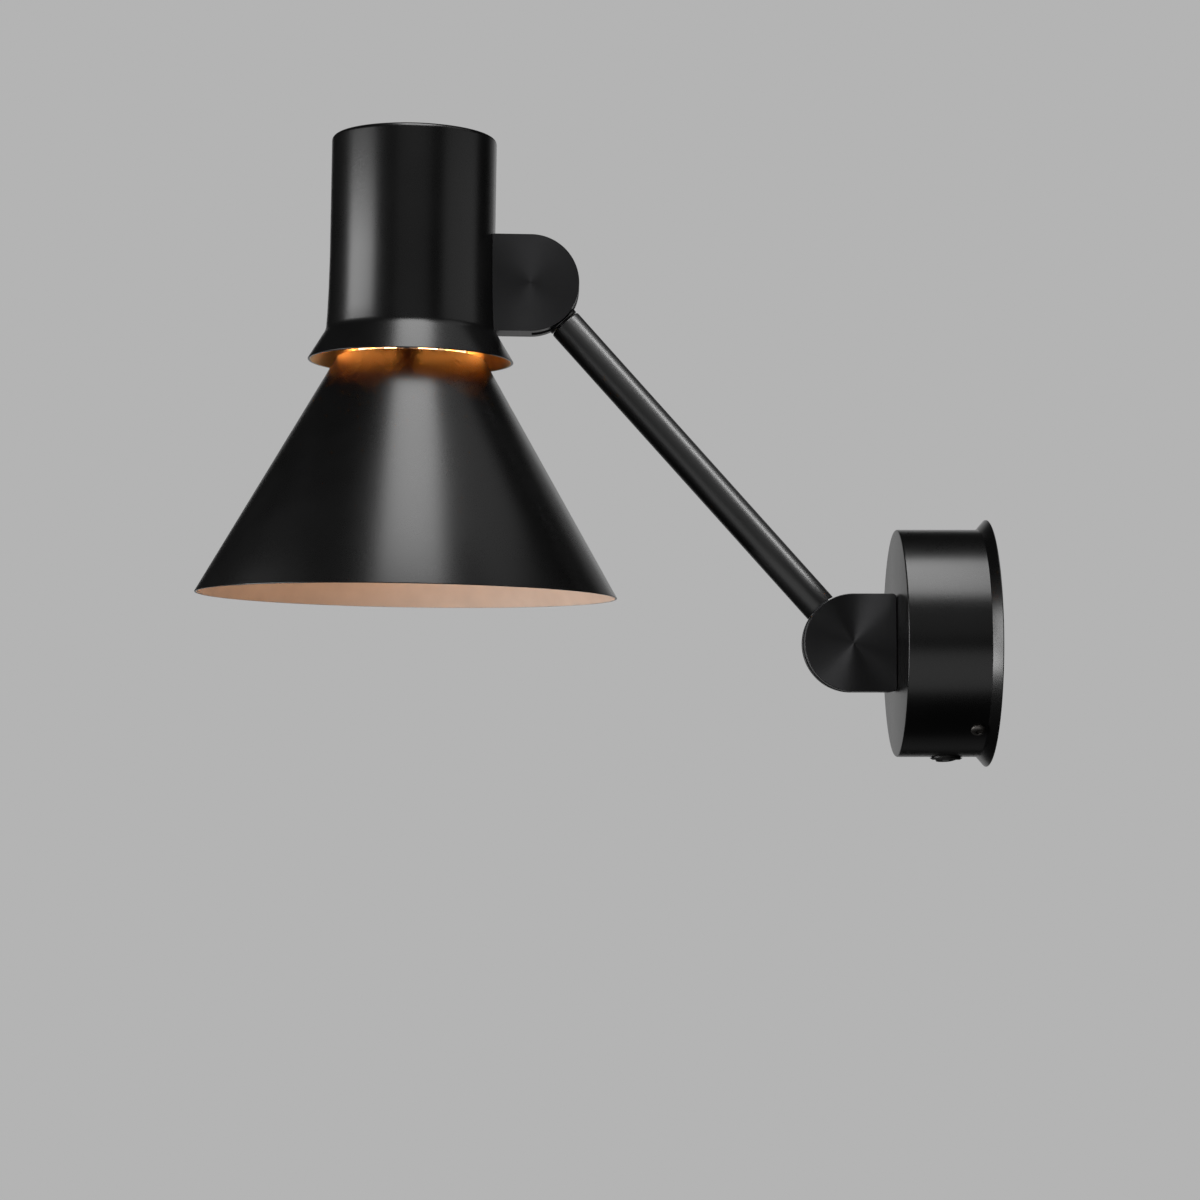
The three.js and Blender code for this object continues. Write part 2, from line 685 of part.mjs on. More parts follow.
// Swivel at the upper end. Distances are from the head pivot, down the tube.
const SWIVEL = { spigot: 4.5, spigotEnd: 46.5, bushFrom: 25, bushTo: 43, notch: 3, groove: 3.7 };
const STOP_PIN = { radius: 1, at: 41.5, from: 2.7, to: 6, swing: 105 };

const upperEnd = new THREE.Group();
upperEnd.position.z = ARM_LENGTH;
upperEnd.rotation.x = Math.PI;
arm.add(upperEnd);

// The stop pin swings in a notch in the bush's end, a quarter turn to each side.
function swivelBush() {
  const bush = ring("z", SWIVEL.spigot + GAP, TUBE_BORE - GAP, SWIVEL.bushFrom, SWIVEL.bushTo);
  const notch = prism("z", sector(STOP_PIN.swing), SWIVEL.bushTo - SWIVEL.notch, SWIVEL.bushTo + 1);
  return cut(bush, notch.rotate([0, 0, 90]));
}
named("swivel_bush", swivelBush(), brass(), upperEnd);

const leadEnd = 15;
named("lead_arm", bar("z", LEAD_RADIUS, leadEnd, ARM_LENGTH - leadEnd, [0, 0, 0], 10), rubber(), arm);

// ---------------------------------------------------------------- swivelling tongue

const swivel = new THREE.Group();
upperEnd.add(swivel);

function swivelTongue() {
  const collar = cut(
    bar("z", TUBE_RADIUS - 0.2, 18, COLLAR_END, [0, 0, 0], 32),
    bar("x", KNUCKLE_RADIUS + GAP, -10, 10, [0, 0, 0], 48),
  );
  const spigot = bar("z", SWIVEL.spigot, COLLAR_END - 0.4, SWIVEL.spigotEnd, [0, 0, 0], 24);
  const groove = ring("z", SWIVEL.groove, SWIVEL.spigot + 1, 43.2, 44.8);
  const pinHole = bar("y", STOP_PIN.radius + GAP, 0, STOP_PIN.to, [0, 0, STOP_PIN.at], 12);
  return cut(join(tongueHead(COLLAR_END), collar, spigot), tongueHoles(SWIVEL.spigotEnd), groove, pinHole);
}

function circlip() {
  return cut(ring("z", SWIVEL.groove + GAP, 6.1, 43.5, 44.5), prism("z", sector(25), 43, 45));
}

named("swivel_tongue", swivelTongue(), anodised(), swivel);
named("upper_pivot_bush", pivotBush(), brass(), swivel);
named("swivel_circlip", circlip(), steel(), swivel);
const stopPin = bar("y", STOP_PIN.radius, STOP_PIN.from, STOP_PIN.to, [0, 0, STOP_PIN.at], 12);
named("swivel_stop_pin", stopPin, steel(), swivel);

// ---------------------------------------------------------------- lamp head

// The head's frame: head pivot at the origin, the lamp axis parallel to +Z at y = -HEAD_REACH.
const head = new THREE.Group();
const elevation = degrees(ARM_ELEVATION);
head.position.set(
  0,
  -BASE_PIVOT_DEPTH - ARM_LENGTH * Math.cos(elevation),
  ARM_LENGTH * Math.sin(elevation),
);
head.rotation.x = -degrees(HEAD_LEAN);
root.add(head);

// The knuckle faces the other way, so its frame is turned half round about X.
const headKnuckle = new THREE.Group();
headKnuckle.rotation.x = Math.PI;
head.add(headKnuckle);
const capEnvelope = turned("z", [[0, SKIRT.z], [0, CAP_TOP], ...capOutline(GAP), [0, SKIRT.z]], 64)
  .rotate([180, 0, 0])
  .translate([0, HEAD_REACH, 0]);
const headReach = HEAD_REACH - CAP_RADIUS + 3; // a little into the cap, then cut to its outline
addKnuckle("head", headKnuckle, { reach: headReach, plateScrewY: 13.2, endCut: capEnvelope });

const lamp = new THREE.Group();
lamp.position.y = -HEAD_REACH;
head.add(lamp);

function lampCap() {
  const outside = [[0, CAP_TOP], ...capOutline()];
  const profile = [
    ...outside,
    [SKIRT.radius - 1.5, SKIRT.z],
    [CREASE.radius - 1.4, CREASE.z - 0.8],
    [CAP_RADIUS - CAP_WALL, 12],
    [CAP_RADIUS - CAP_WALL, CAP_TOP - 2 * CAP_WALL],
    [CAP_RADIUS - 2 * CAP_WALL, CAP_TOP - CAP_WALL],
    [0, CAP_TOP - CAP_WALL],
  ];
  let cap = cut(turned("z", profile, 56), bar("y", LEAD_HOLE, 30, 45));
  for (const side of [-1, 1])
    cap = cut(cap, bar("y", M4_HOLE, 30, 45, [0, 0, side * MOUNT_SCREW_OFFSET]));
  return cap;
}
named("lamp_cap", lampCap(), paint(), lamp);

const HOLDER = { radius: 19.5, thread: 17.5, mouth: 14, shoulder: -22.4, mouthEnd: -31, stem: 5, bore: 2.8 };

// The bracket hangs the lamp holder on the axis: a leg behind the knuckle and a shelf.
const BRACKET = { half: 9, legFrom: 33.9, legTo: 35.9, shelf: 27, thickness: 2, leadY: 25.5 };
function holderBracket() {
  const leg = block(
    [-BRACKET.half, BRACKET.legFrom, -20],
    [BRACKET.half, BRACKET.legTo, BRACKET.shelf + BRACKET.thickness],
  );
  const shelf = block(
    [-BRACKET.half, -10, BRACKET.shelf],
    [BRACKET.half, BRACKET.legTo, BRACKET.shelf + BRACKET.thickness],
  );
  let bracket = cut(
    join(leg, shelf),
    bar("y", LEAD_HOLE, 30, 40),
    bar("z", HOLDER.stem + GAP, 20, 40),
    bar("z", LEAD_HOLE, 20, 40, [0, BRACKET.leadY, 0]),
  );
  for (const side of [-1, 1])
    bracket = cut(bracket, bar("y", M4_HOLE, 30, 40, [0, 0, side * MOUNT_SCREW_OFFSET]));
  return bracket;
}
named("holder_bracket", holderBracket(), steel(), lamp);

for (const [name, side] of [["head_mount_screw_upper", 1], ["head_mount_screw_lower", -1]]) {
  const seat = BRACKET.legFrom - GAP;
  const tip = HEAD_REACH - POCKET_REACH - 0.6;
  const long = screw({ head: M4_HEAD, height: 2.5, shank: M4, length: tip - seat, socket: 1.5 });
  const mesh = named(name, long, steel(), lamp);
  mesh.rotation.x = Math.PI / 2;
  mesh.position.set(0, seat, side * MOUNT_SCREW_OFFSET);
}

// Screw-base lamp holder with its hollow threaded stem.
function lampHolder() {
  const profile = [
    [HOLDER.bore, 35],
    [HOLDER.stem, 35],
    [HOLDER.stem, 24],
    [12, 24],
    ...arc(HOLDER.radius - 5, 19, 5, 90, 0, 2),
    [HOLDER.radius, HOLDER.shoulder],
    [HOLDER.thread, HOLDER.shoulder],
    [HOLDER.thread, HOLDER.mouthEnd],
    [HOLDER.mouth, HOLDER.mouthEnd],
    [HOLDER.mouth, -3],
    [HOLDER.bore, -3],
    [HOLDER.bore, -1],
    [HOLDER.radius - 2, -1],
    [HOLDER.radius - 2, 17],
    [12, 21.5],
    [HOLDER.bore, 21.5],
    [HOLDER.bore, 35],
  ];
  return turned("z", profile, 24);
}
named("lamp_holder", lampHolder(), plastic(), lamp);

const hexNut = cut(
  bar("z", 8.5, BRACKET.shelf + BRACKET.thickness + GAP, 33, [0, 0, 0], 6),
  bar("z", HOLDER.stem + GAP, 20, 40),
);
named("holder_nut", hexNut, steel(), lamp);
named("holder_contact", bar("z", 5, -4.1, -3.3, [0, 0, 0], 24), brass(), lamp);

// The spider: a ring under the holder's shoulder and three cranked arms to the shade.
const SPIDER = { top: HOLDER.shoulder - GAP, thickness: 1.5, ring: 22.5, bend: 28, foot: 34 };
const SPIDER_TURNS = [0, 120, 240]; // degrees round the lamp axis from +X
const RIVET = { place: 31, shank: 1.5, edge: 1.6, head: 2.1 };
function shadeSpider() {
  const low = SHADE_TOP.z + GAP;
  // The side view of one arm, as [height, radius].
  const side = outline([
    [SPIDER.top, 18.5],
    [SPIDER.top, SPIDER.bend - 0.5],
    [low + SPIDER.thickness, SPIDER.bend + 0.5],
    [low + SPIDER.thickness, SPIDER.foot],
    [low, SPIDER.foot],
    [low, SPIDER.bend - 0.9],
    [SPIDER.top - SPIDER.thickness, SPIDER.bend - 1.9],
    [SPIDER.top - SPIDER.thickness, 18.5],
  ]);
  const armSolid = cut(
    prism("y", side, -SPIDER_ARM_WIDTH / 2, SPIDER_ARM_WIDTH / 2),
    bar("z", RIVET.shank + GAP, low - 2, low + 3, [RIVET.place, 0, 0]),
  );
  const arms = SPIDER_TURNS.map((turn) => armSolid.rotate([0, 0, turn]));
  const collar = ring("z", HOLDER.thread + GAP, SPIDER.ring, SPIDER.top - SPIDER.thickness, SPIDER.top, 28);
  return cut(join(collar, ...arms), bar("z", HOLDER.thread + GAP, -40, -10, [0, 0, 0], 28));
}
named("shade_spider", shadeSpider(), steel(), lamp);
const ringTop = SPIDER.top - SPIDER.thickness - GAP;
named("shade_ring", ring("z", HOLDER.thread + GAP, SPIDER.ring, ringTop - 3, ringTop, 28), plastic(), lamp);

function shade() {
  const fold = 0.8;
  const profile = [
    [SHADE_FLANGE_RADIUS, SHADE_TOP.z],
    [SHADE_TOP.radius - fold, SHADE_TOP.z],
    [SHADE_TOP.radius, SHADE_TOP.z - fold],
    [SHADE_RIM.radius, SHADE_RIM.z],
    [SHADE_RIM.radius - SHADE_WALL, SHADE_RIM.z],
    [SHADE_TOP.radius - 1.1 * SHADE_WALL, SHADE_TOP.z - SHADE_WALL - fold],
    [SHADE_TOP.radius - fold - SHADE_WALL, SHADE_TOP.z - SHADE_WALL],
    [SHADE_FLANGE_RADIUS, SHADE_TOP.z - SHADE_WALL],
    [SHADE_FLANGE_RADIUS, SHADE_TOP.z],
  ];
  let cone = turned("z", profile, 64);
  const hole = bar("z", RIVET.shank + GAP, SHADE_TOP.z - 3, SHADE_TOP.z + 1, [RIVET.place, 0, 0]);
  for (const turn of SPIDER_TURNS) cone = cut(cone, hole.rotate([0, 0, turn]));
  return cone;
}
named("shade", shade(), paint(), lamp);

// A rivet holds each foot of the spider to the shade's flange.
SPIDER_TURNS.forEach((turn, i) => {
  const headSeat = SHADE_TOP.z + SPIDER.thickness + 2 * GAP;
  const tailSeat = SHADE_TOP.z - SHADE_WALL - GAP;
  const profile = [
    [0, tailSeat - 1],
    [RIVET.edge, tailSeat - 1],
    [RIVET.head, tailSeat],
    [RIVET.shank, tailSeat],
    [RIVET.shank, headSeat],
    [RIVET.head, headSeat],
    [RIVET.edge, headSeat + 1.1],
    [0, headSeat + 1.3],
  ];
  const rivet = named("shade_rivet_" + (i + 1), turned("z", profile, 14), steel(), lamp);
  const angle = degrees(turn);
  rivet.position.set(RIVET.place * Math.cos(angle), RIVET.place * Math.sin(angle), 0);
});

// ---------------------------------------------------------------- bulb

function bulbGlass() {
  const side = (inset) => {
    const radius = BULB.radius - inset;
    const neck = BULB.neck - inset;
    return [
      [neck, BULB.top],
      [neck + 0.6, BULB.top - 6],
      [neck + 4.5, BULB.top - 16],
      ...arc(0, BULB.centre, radius, 42, -90, 6),
    ];
  };
  return turned("z", [...side(0), ...side(1).reverse(), side(0)[0]], 24);
}
named("bulb_glass", bulbGlass(), glass(), lamp);

function bulbBase() {
  const turns = 3;
  const pitch = 5;
  const threads = Array.from({ length: turns }, (_, i) => [
    [13.2, BULB.top + 6 + i * pitch],
    [12.5, BULB.top + 6 + (i + 0.5) * pitch],
  ]).flat();
  return turned("z", [
    [0, BULB.top + GAP],
    [12.6, BULB.top + GAP],
    [12.6, BULB.top + 4],
    ...threads,
    [9, BULB.top + 23],
    [4.8, BULB.top + 24],
    [4.8, BULB.top + 25.5],
    [0, BULB.top + 25.5],
  ], 20);
}
named("bulb_base", bulbBase(), steel(), lamp);

named(
  "lead_head",
  lead([
    [0, HEAD_REACH - 10.5, 0],
    [0, CAP_RADIUS, 0],
    [0, 32, 0],
    [0, 27, 3],
    [0, BRACKET.leadY, 10],
    [0, BRACKET.leadY, 27],
    [0, 24, 42],
    [0, 14, 49],
    [0, 4, 46],
    [0, 0, 37],
  ]),
  rubber(),
  lamp,
);

export default root;
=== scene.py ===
# Swing arm wall sconce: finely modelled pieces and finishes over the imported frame.
#
# Shapes are drawn in millimetres, each in the local frame of the part it belongs to, and
# placed in metres in the shared frame: the wall is y = 0, the room is on the -Y side, +Z is up.

import json
import math

import bmesh
import bpy
from mathutils import Matrix, Vector

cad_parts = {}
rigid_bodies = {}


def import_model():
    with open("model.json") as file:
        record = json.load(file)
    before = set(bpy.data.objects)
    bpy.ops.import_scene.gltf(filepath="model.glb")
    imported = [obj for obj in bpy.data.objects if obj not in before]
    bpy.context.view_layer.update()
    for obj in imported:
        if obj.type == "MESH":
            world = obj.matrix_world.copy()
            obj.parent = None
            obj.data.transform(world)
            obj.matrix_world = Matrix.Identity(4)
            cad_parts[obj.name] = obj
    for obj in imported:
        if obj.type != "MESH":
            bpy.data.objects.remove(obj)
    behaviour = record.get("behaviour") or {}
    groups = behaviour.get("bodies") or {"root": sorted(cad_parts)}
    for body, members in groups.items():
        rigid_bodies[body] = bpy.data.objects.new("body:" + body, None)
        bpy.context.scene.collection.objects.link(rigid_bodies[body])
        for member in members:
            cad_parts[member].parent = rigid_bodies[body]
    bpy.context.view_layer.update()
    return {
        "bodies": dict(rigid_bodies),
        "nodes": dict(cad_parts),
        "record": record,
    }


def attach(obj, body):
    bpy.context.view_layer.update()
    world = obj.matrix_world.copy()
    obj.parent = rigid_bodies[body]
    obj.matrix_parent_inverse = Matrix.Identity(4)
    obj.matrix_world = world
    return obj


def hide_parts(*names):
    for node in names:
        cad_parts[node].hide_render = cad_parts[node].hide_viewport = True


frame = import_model()

# ---------------------------------------------------------------- dimensions, mm

GAP = 0.3
BOX_RADIUS, BOX_DEPTH, BOX_WALL = 54.0, 43.5, 1.8
FLARE_RADIUS, FLARE_DEPTH, FLARE_LIFT = 58.8, 4.9, 0.4
COVER_SCREW_ANGLE, COVER_SCREW_DEPTH = 40.0, 9.2

SWITCH_DEPTH = 19.7
BEZEL_RADIUS, BARREL_RADIUS = 7.7, 6.9
ROCKER_RADIUS, ROCKER_PIVOT, ROCKER_TILT = 5.3, 53.0, 7.0
ROCKER_DOME, ROCKER_CROWN = 20.0, 3.3

KNUCKLE_RADIUS, KNUCKLE_HALF, KNUCKLE_SPLIT = 23.2, 9.5, -5.4
POCKET_RADIUS, POCKET_FRONT, POCKET_REACH = 20.0, 4.6, 12.5
WINDOW_HALF, WINDOW_ANGLE = 3.9, 88.0
PLATE_SCREW_OFFSET = 19.7
PIVOT_HOLE = 3.3

# Screws: the head's radius and height, the shank's radius and length, the socket's radius
# to its corners and its depth.
COVER_SCREW = {"head": 3.5, "height": 1.7, "shank": 2.0, "length": 9.0, "socket": 1.5, "depth": 1.0}
PLATE_SCREW = {"head": 2.7, "height": 1.5, "shank": 1.5, "length": 9.0, "socket": 1.2, "depth": 1.0}
PIVOT_SCREW = {"head": 5.2, "height": 2.3, "shank": 3.0, "length": 14.1, "socket": 2.6, "depth": 1.5}
PLATE_SCREW_RECESS = 2.1
BASE_PLATE_SCREWS, HEAD_PLATE_SCREWS = 16.0, 13.2  # how far they sit behind the pivot

ARM_LENGTH, ARM_ELEVATION = 229.5, 48.2
TUBE_RADIUS, TUBE_BORE = 8.0, 6.5
TONGUE_HALF, HUB_RADIUS, TONGUE_NECK = 3.5, 8.5, 5.1
COLLAR_END, TUBE_END, SPIGOT_RADIUS = 24.0, 24.6, 4.5
BASE_REACH, HEAD_REACH, HEAD_LEAN = 20.4, 56.7, 0.8

CAP_RADIUS, CAP_TOP, CAP_WALL, CAP_CORNER = 39.4, 69.7, 1.6, 2.0
CREASE, SKIRT = (40.6, -23.3), (49.2, -37.5)
SHADE_TOP, SHADE_RIM, SHADE_WALL, FLANGE_RADIUS = (35.4, -36.0), (100.2, -149.6), 1.2, 29.0
HOLDER_RADIUS, HOLDER_THREAD, HOLDER_MOUTH, HOLDER_STEM = 19.5, 17.5, 14.0, 5.0
HOLDER_SHOULDER, HOLDER_END = -22.4, -31.0
SPIDER_TOP, SPIDER_THICKNESS, SPIDER_RING = -22.7, 1.5, 22.5
SPIDER_BEND, SPIDER_FOOT, SPIDER_WIDTH = 28.0, 34.0, 10.0
SPIDER_TURNS = (0, 120, 240)
RIVET_PLACE, RIVET_SHANK, RIVET_HEAD = 31.0, 1.5, 2.1
BULB_RADIUS, BULB_CENTRE, BULB_NECK, BULB_TOP = 30.0, -79.0, 12.6, -30.0

# How many flat facets a turned shape has.
FACETS_RIVET, FACETS_BORE, FACETS_SMALL, FACETS_TUBE = 48, 64, 96, 128
FACETS_PLATE, FACETS_RING, FACETS_SHELL, FACETS_SHADE = 144, 192, 224, 288

# ---------------------------------------------------------------- local frames

MM = 0.001
joints = {joint["name"]: joint for joint in frame["record"]["behaviour"]["joints"]}


def place_of(joint):
    return Vector(joints[joint]["pos_m"])


def turn(axis, degrees):
    return Matrix.Rotation(math.radians(degrees), 4, axis)


def shift(x, y, z):
    return Matrix.Translation((x, y, z))


base_pivot, head_pivot = place_of("arm_hinge"), place_of("head_tilt")
SCALE = Matrix.Scale(MM, 4)
WALL = SCALE
BASE_KNUCKLE = Matrix.Translation(base_pivot) @ SCALE
ARM = BASE_KNUCKLE @ turn("X", 90 - ARM_ELEVATION)
HEAD = Matrix.Translation(head_pivot) @ SCALE @ turn("X", -HEAD_LEAN)
HEAD_KNUCKLE = HEAD @ turn("X", 180)
LAMP = HEAD @ shift(0, -HEAD_REACH, 0)
UPPER_END = ARM @ shift(0, 0, ARM_LENGTH) @ turn("X", 180)

# Local Z laid along +Y or +X, for turned shapes about those axes.
ALONG_Y = Matrix(((0, 1, 0, 0), (0, 0, 1, 0), (1, 0, 0, 0), (0, 0, 0, 1)))
ALONG_X = Matrix(((0, 0, 1, 0), (1, 0, 0, 0), (0, 1, 0, 0), (0, 0, 0, 1)))

# ---------------------------------------------------------------- mesh tools


def arc(cx, cy, radius, start, end, steps):
    """Points along a round arc, angles in degrees."""
    angles = [math.radians(start + (end - start) * i / steps) for i in range(steps + 1)]
    return [(cx + radius * math.cos(a), cy + radius * math.sin(a)) for a in angles]


def soften(points, closed=False, steps=4):
    """A line of (x, y) or (x, y, radius) points with a round arc at each given radius."""
    out = []
    for i, point in enumerate(points):
        radius = point[2] if len(point) > 2 else 0
        if not radius or (not closed and i in (0, len(points) - 1)):
            out.append(tuple(point[:2]))
            continue
        corner = Vector(point[:2])
        before = Vector(points[i - 1][:2]) - corner
        after = Vector(points[(i + 1) % len(points)][:2]) - corner
        half = before.angle(after) / 2
        reach = min(radius / math.tan(half), 0.49 * before.length, 0.49 * after.length)
        true_radius = reach * math.tan(half)
        before.normalize()
        after.normalize()
        centre = corner + (before + after).normalized() * (true_radius / math.sin(half))
        first = corner + before * reach - centre
        last = corner + after * reach - centre
        swing = first.angle_signed(last)
        for k in range(steps + 1):
            angle = -swing * k / steps
            x = first.x * math.cos(angle) - first.y * math.sin(angle)
            y = first.x * math.sin(angle) + first.y * math.cos(angle)
            out.append((centre.x + x, centre.y + y))
    return out


def turned(rows, segments=FACETS_SMALL, closed=False):
    """A surface turned about local Z. A row is (radius, height) or a call that gives one
    for an angle in radians. A closed profile joins its last row to its first."""
    mesh = bmesh.new()
    loops = []
    for row in rows:
        if not callable(row) and row[0] < 1e-6:
            loops.append([mesh.verts.new((0, 0, row[1]))])
            continue
        loop = []
        for i in range(segments):
            angle = 2 * math.pi * i / segments
            radius, height = row(angle) if callable(row) else row
            across = radius * math.cos(angle), radius * math.sin(angle)
            loop.append(mesh.verts.new((*across, height)))
        loops.append(loop)
    pairs = list(zip(loops, loops[1:]))
    if closed:
        pairs.append((loops[-1], loops[0]))
    for low, high in pairs:
        for i in range(segments):
            k = (i + 1) % segments
            if len(low) == 1 and len(high) == 1:
                break
            if len(low) == 1:
                mesh.faces.new((low[0], high[k], high[i]))
            elif len(high) == 1:
                mesh.faces.new((low[i], low[k], high[0]))
            else:
                mesh.faces.new((low[i], low[k], high[k], high[i]))
    bmesh.ops.recalc_face_normals(mesh, faces=mesh.faces)
    return mesh


def slab(points, low, high, axis="X"):
    """A flat outline made solid between two heights, drawn in (y, z) for X and (x, y) for Z."""
    mesh = bmesh.new()
    rings = []
    for height in (low, high):
        ring = []
        for a, b in points:
            ring.append(mesh.verts.new((height, a, b) if axis == "X" else (a, b, height)))
        rings.append(ring)
    count = len(points)
    for i in range(count):
        k = (i + 1) % count
        mesh.faces.new((rings[0][i], rings[0][k], rings[1][k], rings[1][i]))
    mesh.faces.new(rings[0])
    mesh.faces.new(rings[1])
    bmesh.ops.recalc_face_normals(mesh, faces=mesh.faces)
    return mesh


def moved(mesh, matrix):
    mesh.transform(matrix)
    return mesh


def joined(*meshes):
    """Several meshes as one, each kept as its own closed shell."""
    whole = meshes[0]
    for other in meshes[1:]:
        scratch = bpy.data.meshes.new("scratch")
        other.to_mesh(scratch)
        whole.from_mesh(scratch)
        bpy.data.meshes.remove(scratch)
        other.free()
    return whole


def as_object(name, mesh):
    data = bpy.data.meshes.new(name)
    mesh.to_mesh(data)
    mesh.free()
    obj = bpy.data.objects.new(name, data)
    bpy.context.scene.collection.objects.link(obj)
    return obj


def carved(mesh, cutters, extra=()):
    """The mesh with other meshes added to it and the cutters taken out of it."""
    obj = as_object("carved", mesh)
    tools = []
    for kind, shapes in (("UNION", extra), ("DIFFERENCE", cutters)):
        for shape in shapes:
            tool = as_object("tool", shape)
            modifier = obj.modifiers.new("cut", "BOOLEAN")
            modifier.operation = kind
            modifier.solver = "EXACT"
            modifier.object = tool
            tools.append(tool)
    bpy.context.view_layer.update()
    done = obj.evaluated_get(bpy.context.evaluated_depsgraph_get())
    data = bpy.data.meshes.new_from_object(done)
    result = bmesh.new()
    result.from_mesh(data)
    bpy.data.meshes.remove(data)
    for item in [obj, *tools]:
        old = item.data
        bpy.data.objects.remove(item)
        bpy.data.meshes.remove(old)
    bmesh.ops.remove_doubles(result, verts=result.verts, dist=1e-4)
    bmesh.ops.dissolve_degenerate(result, edges=result.edges, dist=1e-4)
    return result


def piece(name, mesh, matrix, body, materials, stands_for, bevel=0.0, crease=30):
    """A finished piece: placed in the shared frame, with smooth faces and crisp edges."""
    mesh.transform(matrix)
    sharp = math.radians(crease)
    for face in mesh.faces:
        face.smooth = True
    for edge in mesh.edges:
        edge.smooth = not edge.is_manifold or edge.calc_face_angle(0) < sharp
    obj = as_object(name, mesh)
    if bevel:
        modifier = obj.modifiers.new("edge", "BEVEL")
        modifier.width = bevel * MM
        modifier.segments = 3
        modifier.limit_method = "ANGLE"
        modifier.angle_limit = sharp
        modifier.harden_normals = True
        for edge in obj.data.edges:
            edge.use_edge_sharp = False
    for material in materials:
        obj.data.materials.append(material)
    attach(obj, body)
    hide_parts(*stands_for)
    return obj


# ---------------------------------------------------------------- materials


class Finish:
    """A node material that is built up in small steps on one Principled shader."""

    def __init__(self, name, **sockets):
        self.material = bpy.data.materials.new(name)
        self.material.use_nodes = True
        self.nodes = self.material.node_tree.nodes
        self.links = self.material.node_tree.links
        self.shader = self.nodes["Principled BSDF"]
        for socket, value in sockets.items():
            self.shader.inputs[socket.replace("_", " ")].default_value = value
        self.place = self.nodes.new("ShaderNodeTexCoord").outputs["Object"]

    def noise(self, per_metre, detail=2.0, vector=None):
        node = self.nodes.new("ShaderNodeTexNoise")
        node.inputs["Scale"].default_value = per_metre
        node.inputs["Detail"].default_value = detail
        self.links.new(vector or self.place, node.inputs["Vector"])
        return node.outputs["Fac"]

    def spread(self, value, low, high, from_low=0.3, from_high=0.7):
        node = self.nodes.new("ShaderNodeMapRange")
        for socket, number in zip(
            ("From Min", "From Max", "To Min", "To Max"), (from_low, from_high, low, high)
        ):
            node.inputs[socket].default_value = number
        self.links.new(value, node.inputs["Value"])
        return node.outputs["Result"]

    def maths(self, kind, first, second=0.0):
        node = self.nodes.new("ShaderNodeMath")
        node.operation = kind
        for i, value in enumerate((first, second)):
            if isinstance(value, (int, float)):
                node.inputs[i].default_value = value
            else:
                self.links.new(value, node.inputs[i])
        return node.outputs["Value"]

    def blend(self, main, other):
        """Six parts of one value and four of another."""
        first = self.maths("MULTIPLY", main, 0.6)
        return self.maths("ADD", first, self.maths("MULTIPLY", other, 0.4))

    def vector(self, kind, first, second, output="Vector"):
        node = self.nodes.new("ShaderNodeVectorMath")
        node.operation = kind
        for i, value in enumerate((first, second)):
            if isinstance(value, (tuple, Vector)):
                node.inputs[i].default_value = value
            else:
                self.links.new(value, node.inputs[i])
        return node.outputs[output]

    def colour(self, factor, low, high):
        node = self.nodes.new("ShaderNodeMix")
        node.data_type = "RGBA"
        self.links.new(factor, node.inputs["Factor"])
        for socket in node.inputs:
            if socket.type == "RGBA":
                socket.default_value = (*(low if socket.name == "A" else high), 1)
        result = [socket for socket in node.outputs if socket.type == "RGBA"][0]
        self.links.new(result, self.shader.inputs["Base Color"])
        return result

    def roughness(self, value):
        self.links.new(value, self.shader.inputs["Roughness"])

    def bump(self, height, distance_mm, strength=1.0):
        node = self.nodes.new("ShaderNodeBump")
        node.inputs["Distance"].default_value = distance_mm * MM
        node.inputs["Strength"].default_value = strength
        self.links.new(height, node.inputs["Height"])
        self.links.new(node.outputs["Normal"], self.shader.inputs["Normal"])


def powder_coat(name, rough=(0.265, 0.295), ior=1.5, grain_depth=0.0004):
    """Satin black paint: faint clouding, and a grain too fine to break up the highlights."""
    dark, light = 0.0012, 0.0020
    finish = Finish(name, IOR=ior)
    cloud = finish.noise(45, 3)
    finish.colour(finish.spread(cloud, 0, 1), (dark, dark, dark), (light, light, light * 1.04))
    grain = finish.noise(2600, 2)
    finish.roughness(finish.spread(finish.blend(grain, cloud), *rough))
    finish.bump(grain, grain_depth)
    return finish.material


def turned_metal(name, pivot, tone, rough, anisotropy, lines, turned_by=0.0):
    """Dark anodised aluminium with concentric machining lines about a pivot along X. The
    sheen can be turned by some degrees, so that its fan leans to one side."""
    finish = Finish(name, Metallic=1.0, Anisotropic=anisotropy,
                    Anisotropic_Rotation=turned_by / 360)
    from_pivot = finish.vector("SUBTRACT", finish.place, pivot)
    radial = finish.vector("MULTIPLY", from_pivot, (0.0, 1.0, 1.0))
    distance = finish.vector("LENGTH", radial, (0, 0, 0), "Value")
    across = finish.nodes.new("ShaderNodeCombineXYZ")
    finish.links.new(distance, across.inputs["X"])
    ridge = finish.noise(4200, 2, across.outputs["Vector"])
    broad = finish.noise(60, 3)
    both = finish.blend(ridge, broad)
    low, high = tone * 0.86, tone * 1.14
    finish.colour(finish.spread(both, 0, 1), (low, low, low * 1.03), (high, high, high * 1.03))
    finish.roughness(finish.spread(both, *rough))
    finish.bump(ridge, lines)
    to_world = finish.nodes.new("ShaderNodeVectorTransform")
    to_world.vector_type = "VECTOR"
    to_world.convert_from = "OBJECT"
    to_world.convert_to = "WORLD"
    finish.links.new(radial, to_world.inputs["Vector"])
    finish.links.new(to_world.outputs["Vector"], finish.shader.inputs["Tangent"])
    return finish.material


def plated(name, low, high, rough, per_metre=220, grain=3000, depth=0.004):
    """Bare or plated metal with faint clouding and a fine grain."""
    finish = Finish(name, Metallic=1.0)
    cloud = finish.noise(per_metre, 4)
    finish.colour(finish.spread(cloud, 0, 1), low, high)
    finish.roughness(finish.spread(cloud, *rough))
    finish.bump(finish.noise(grain, 2), depth)
    return finish.material


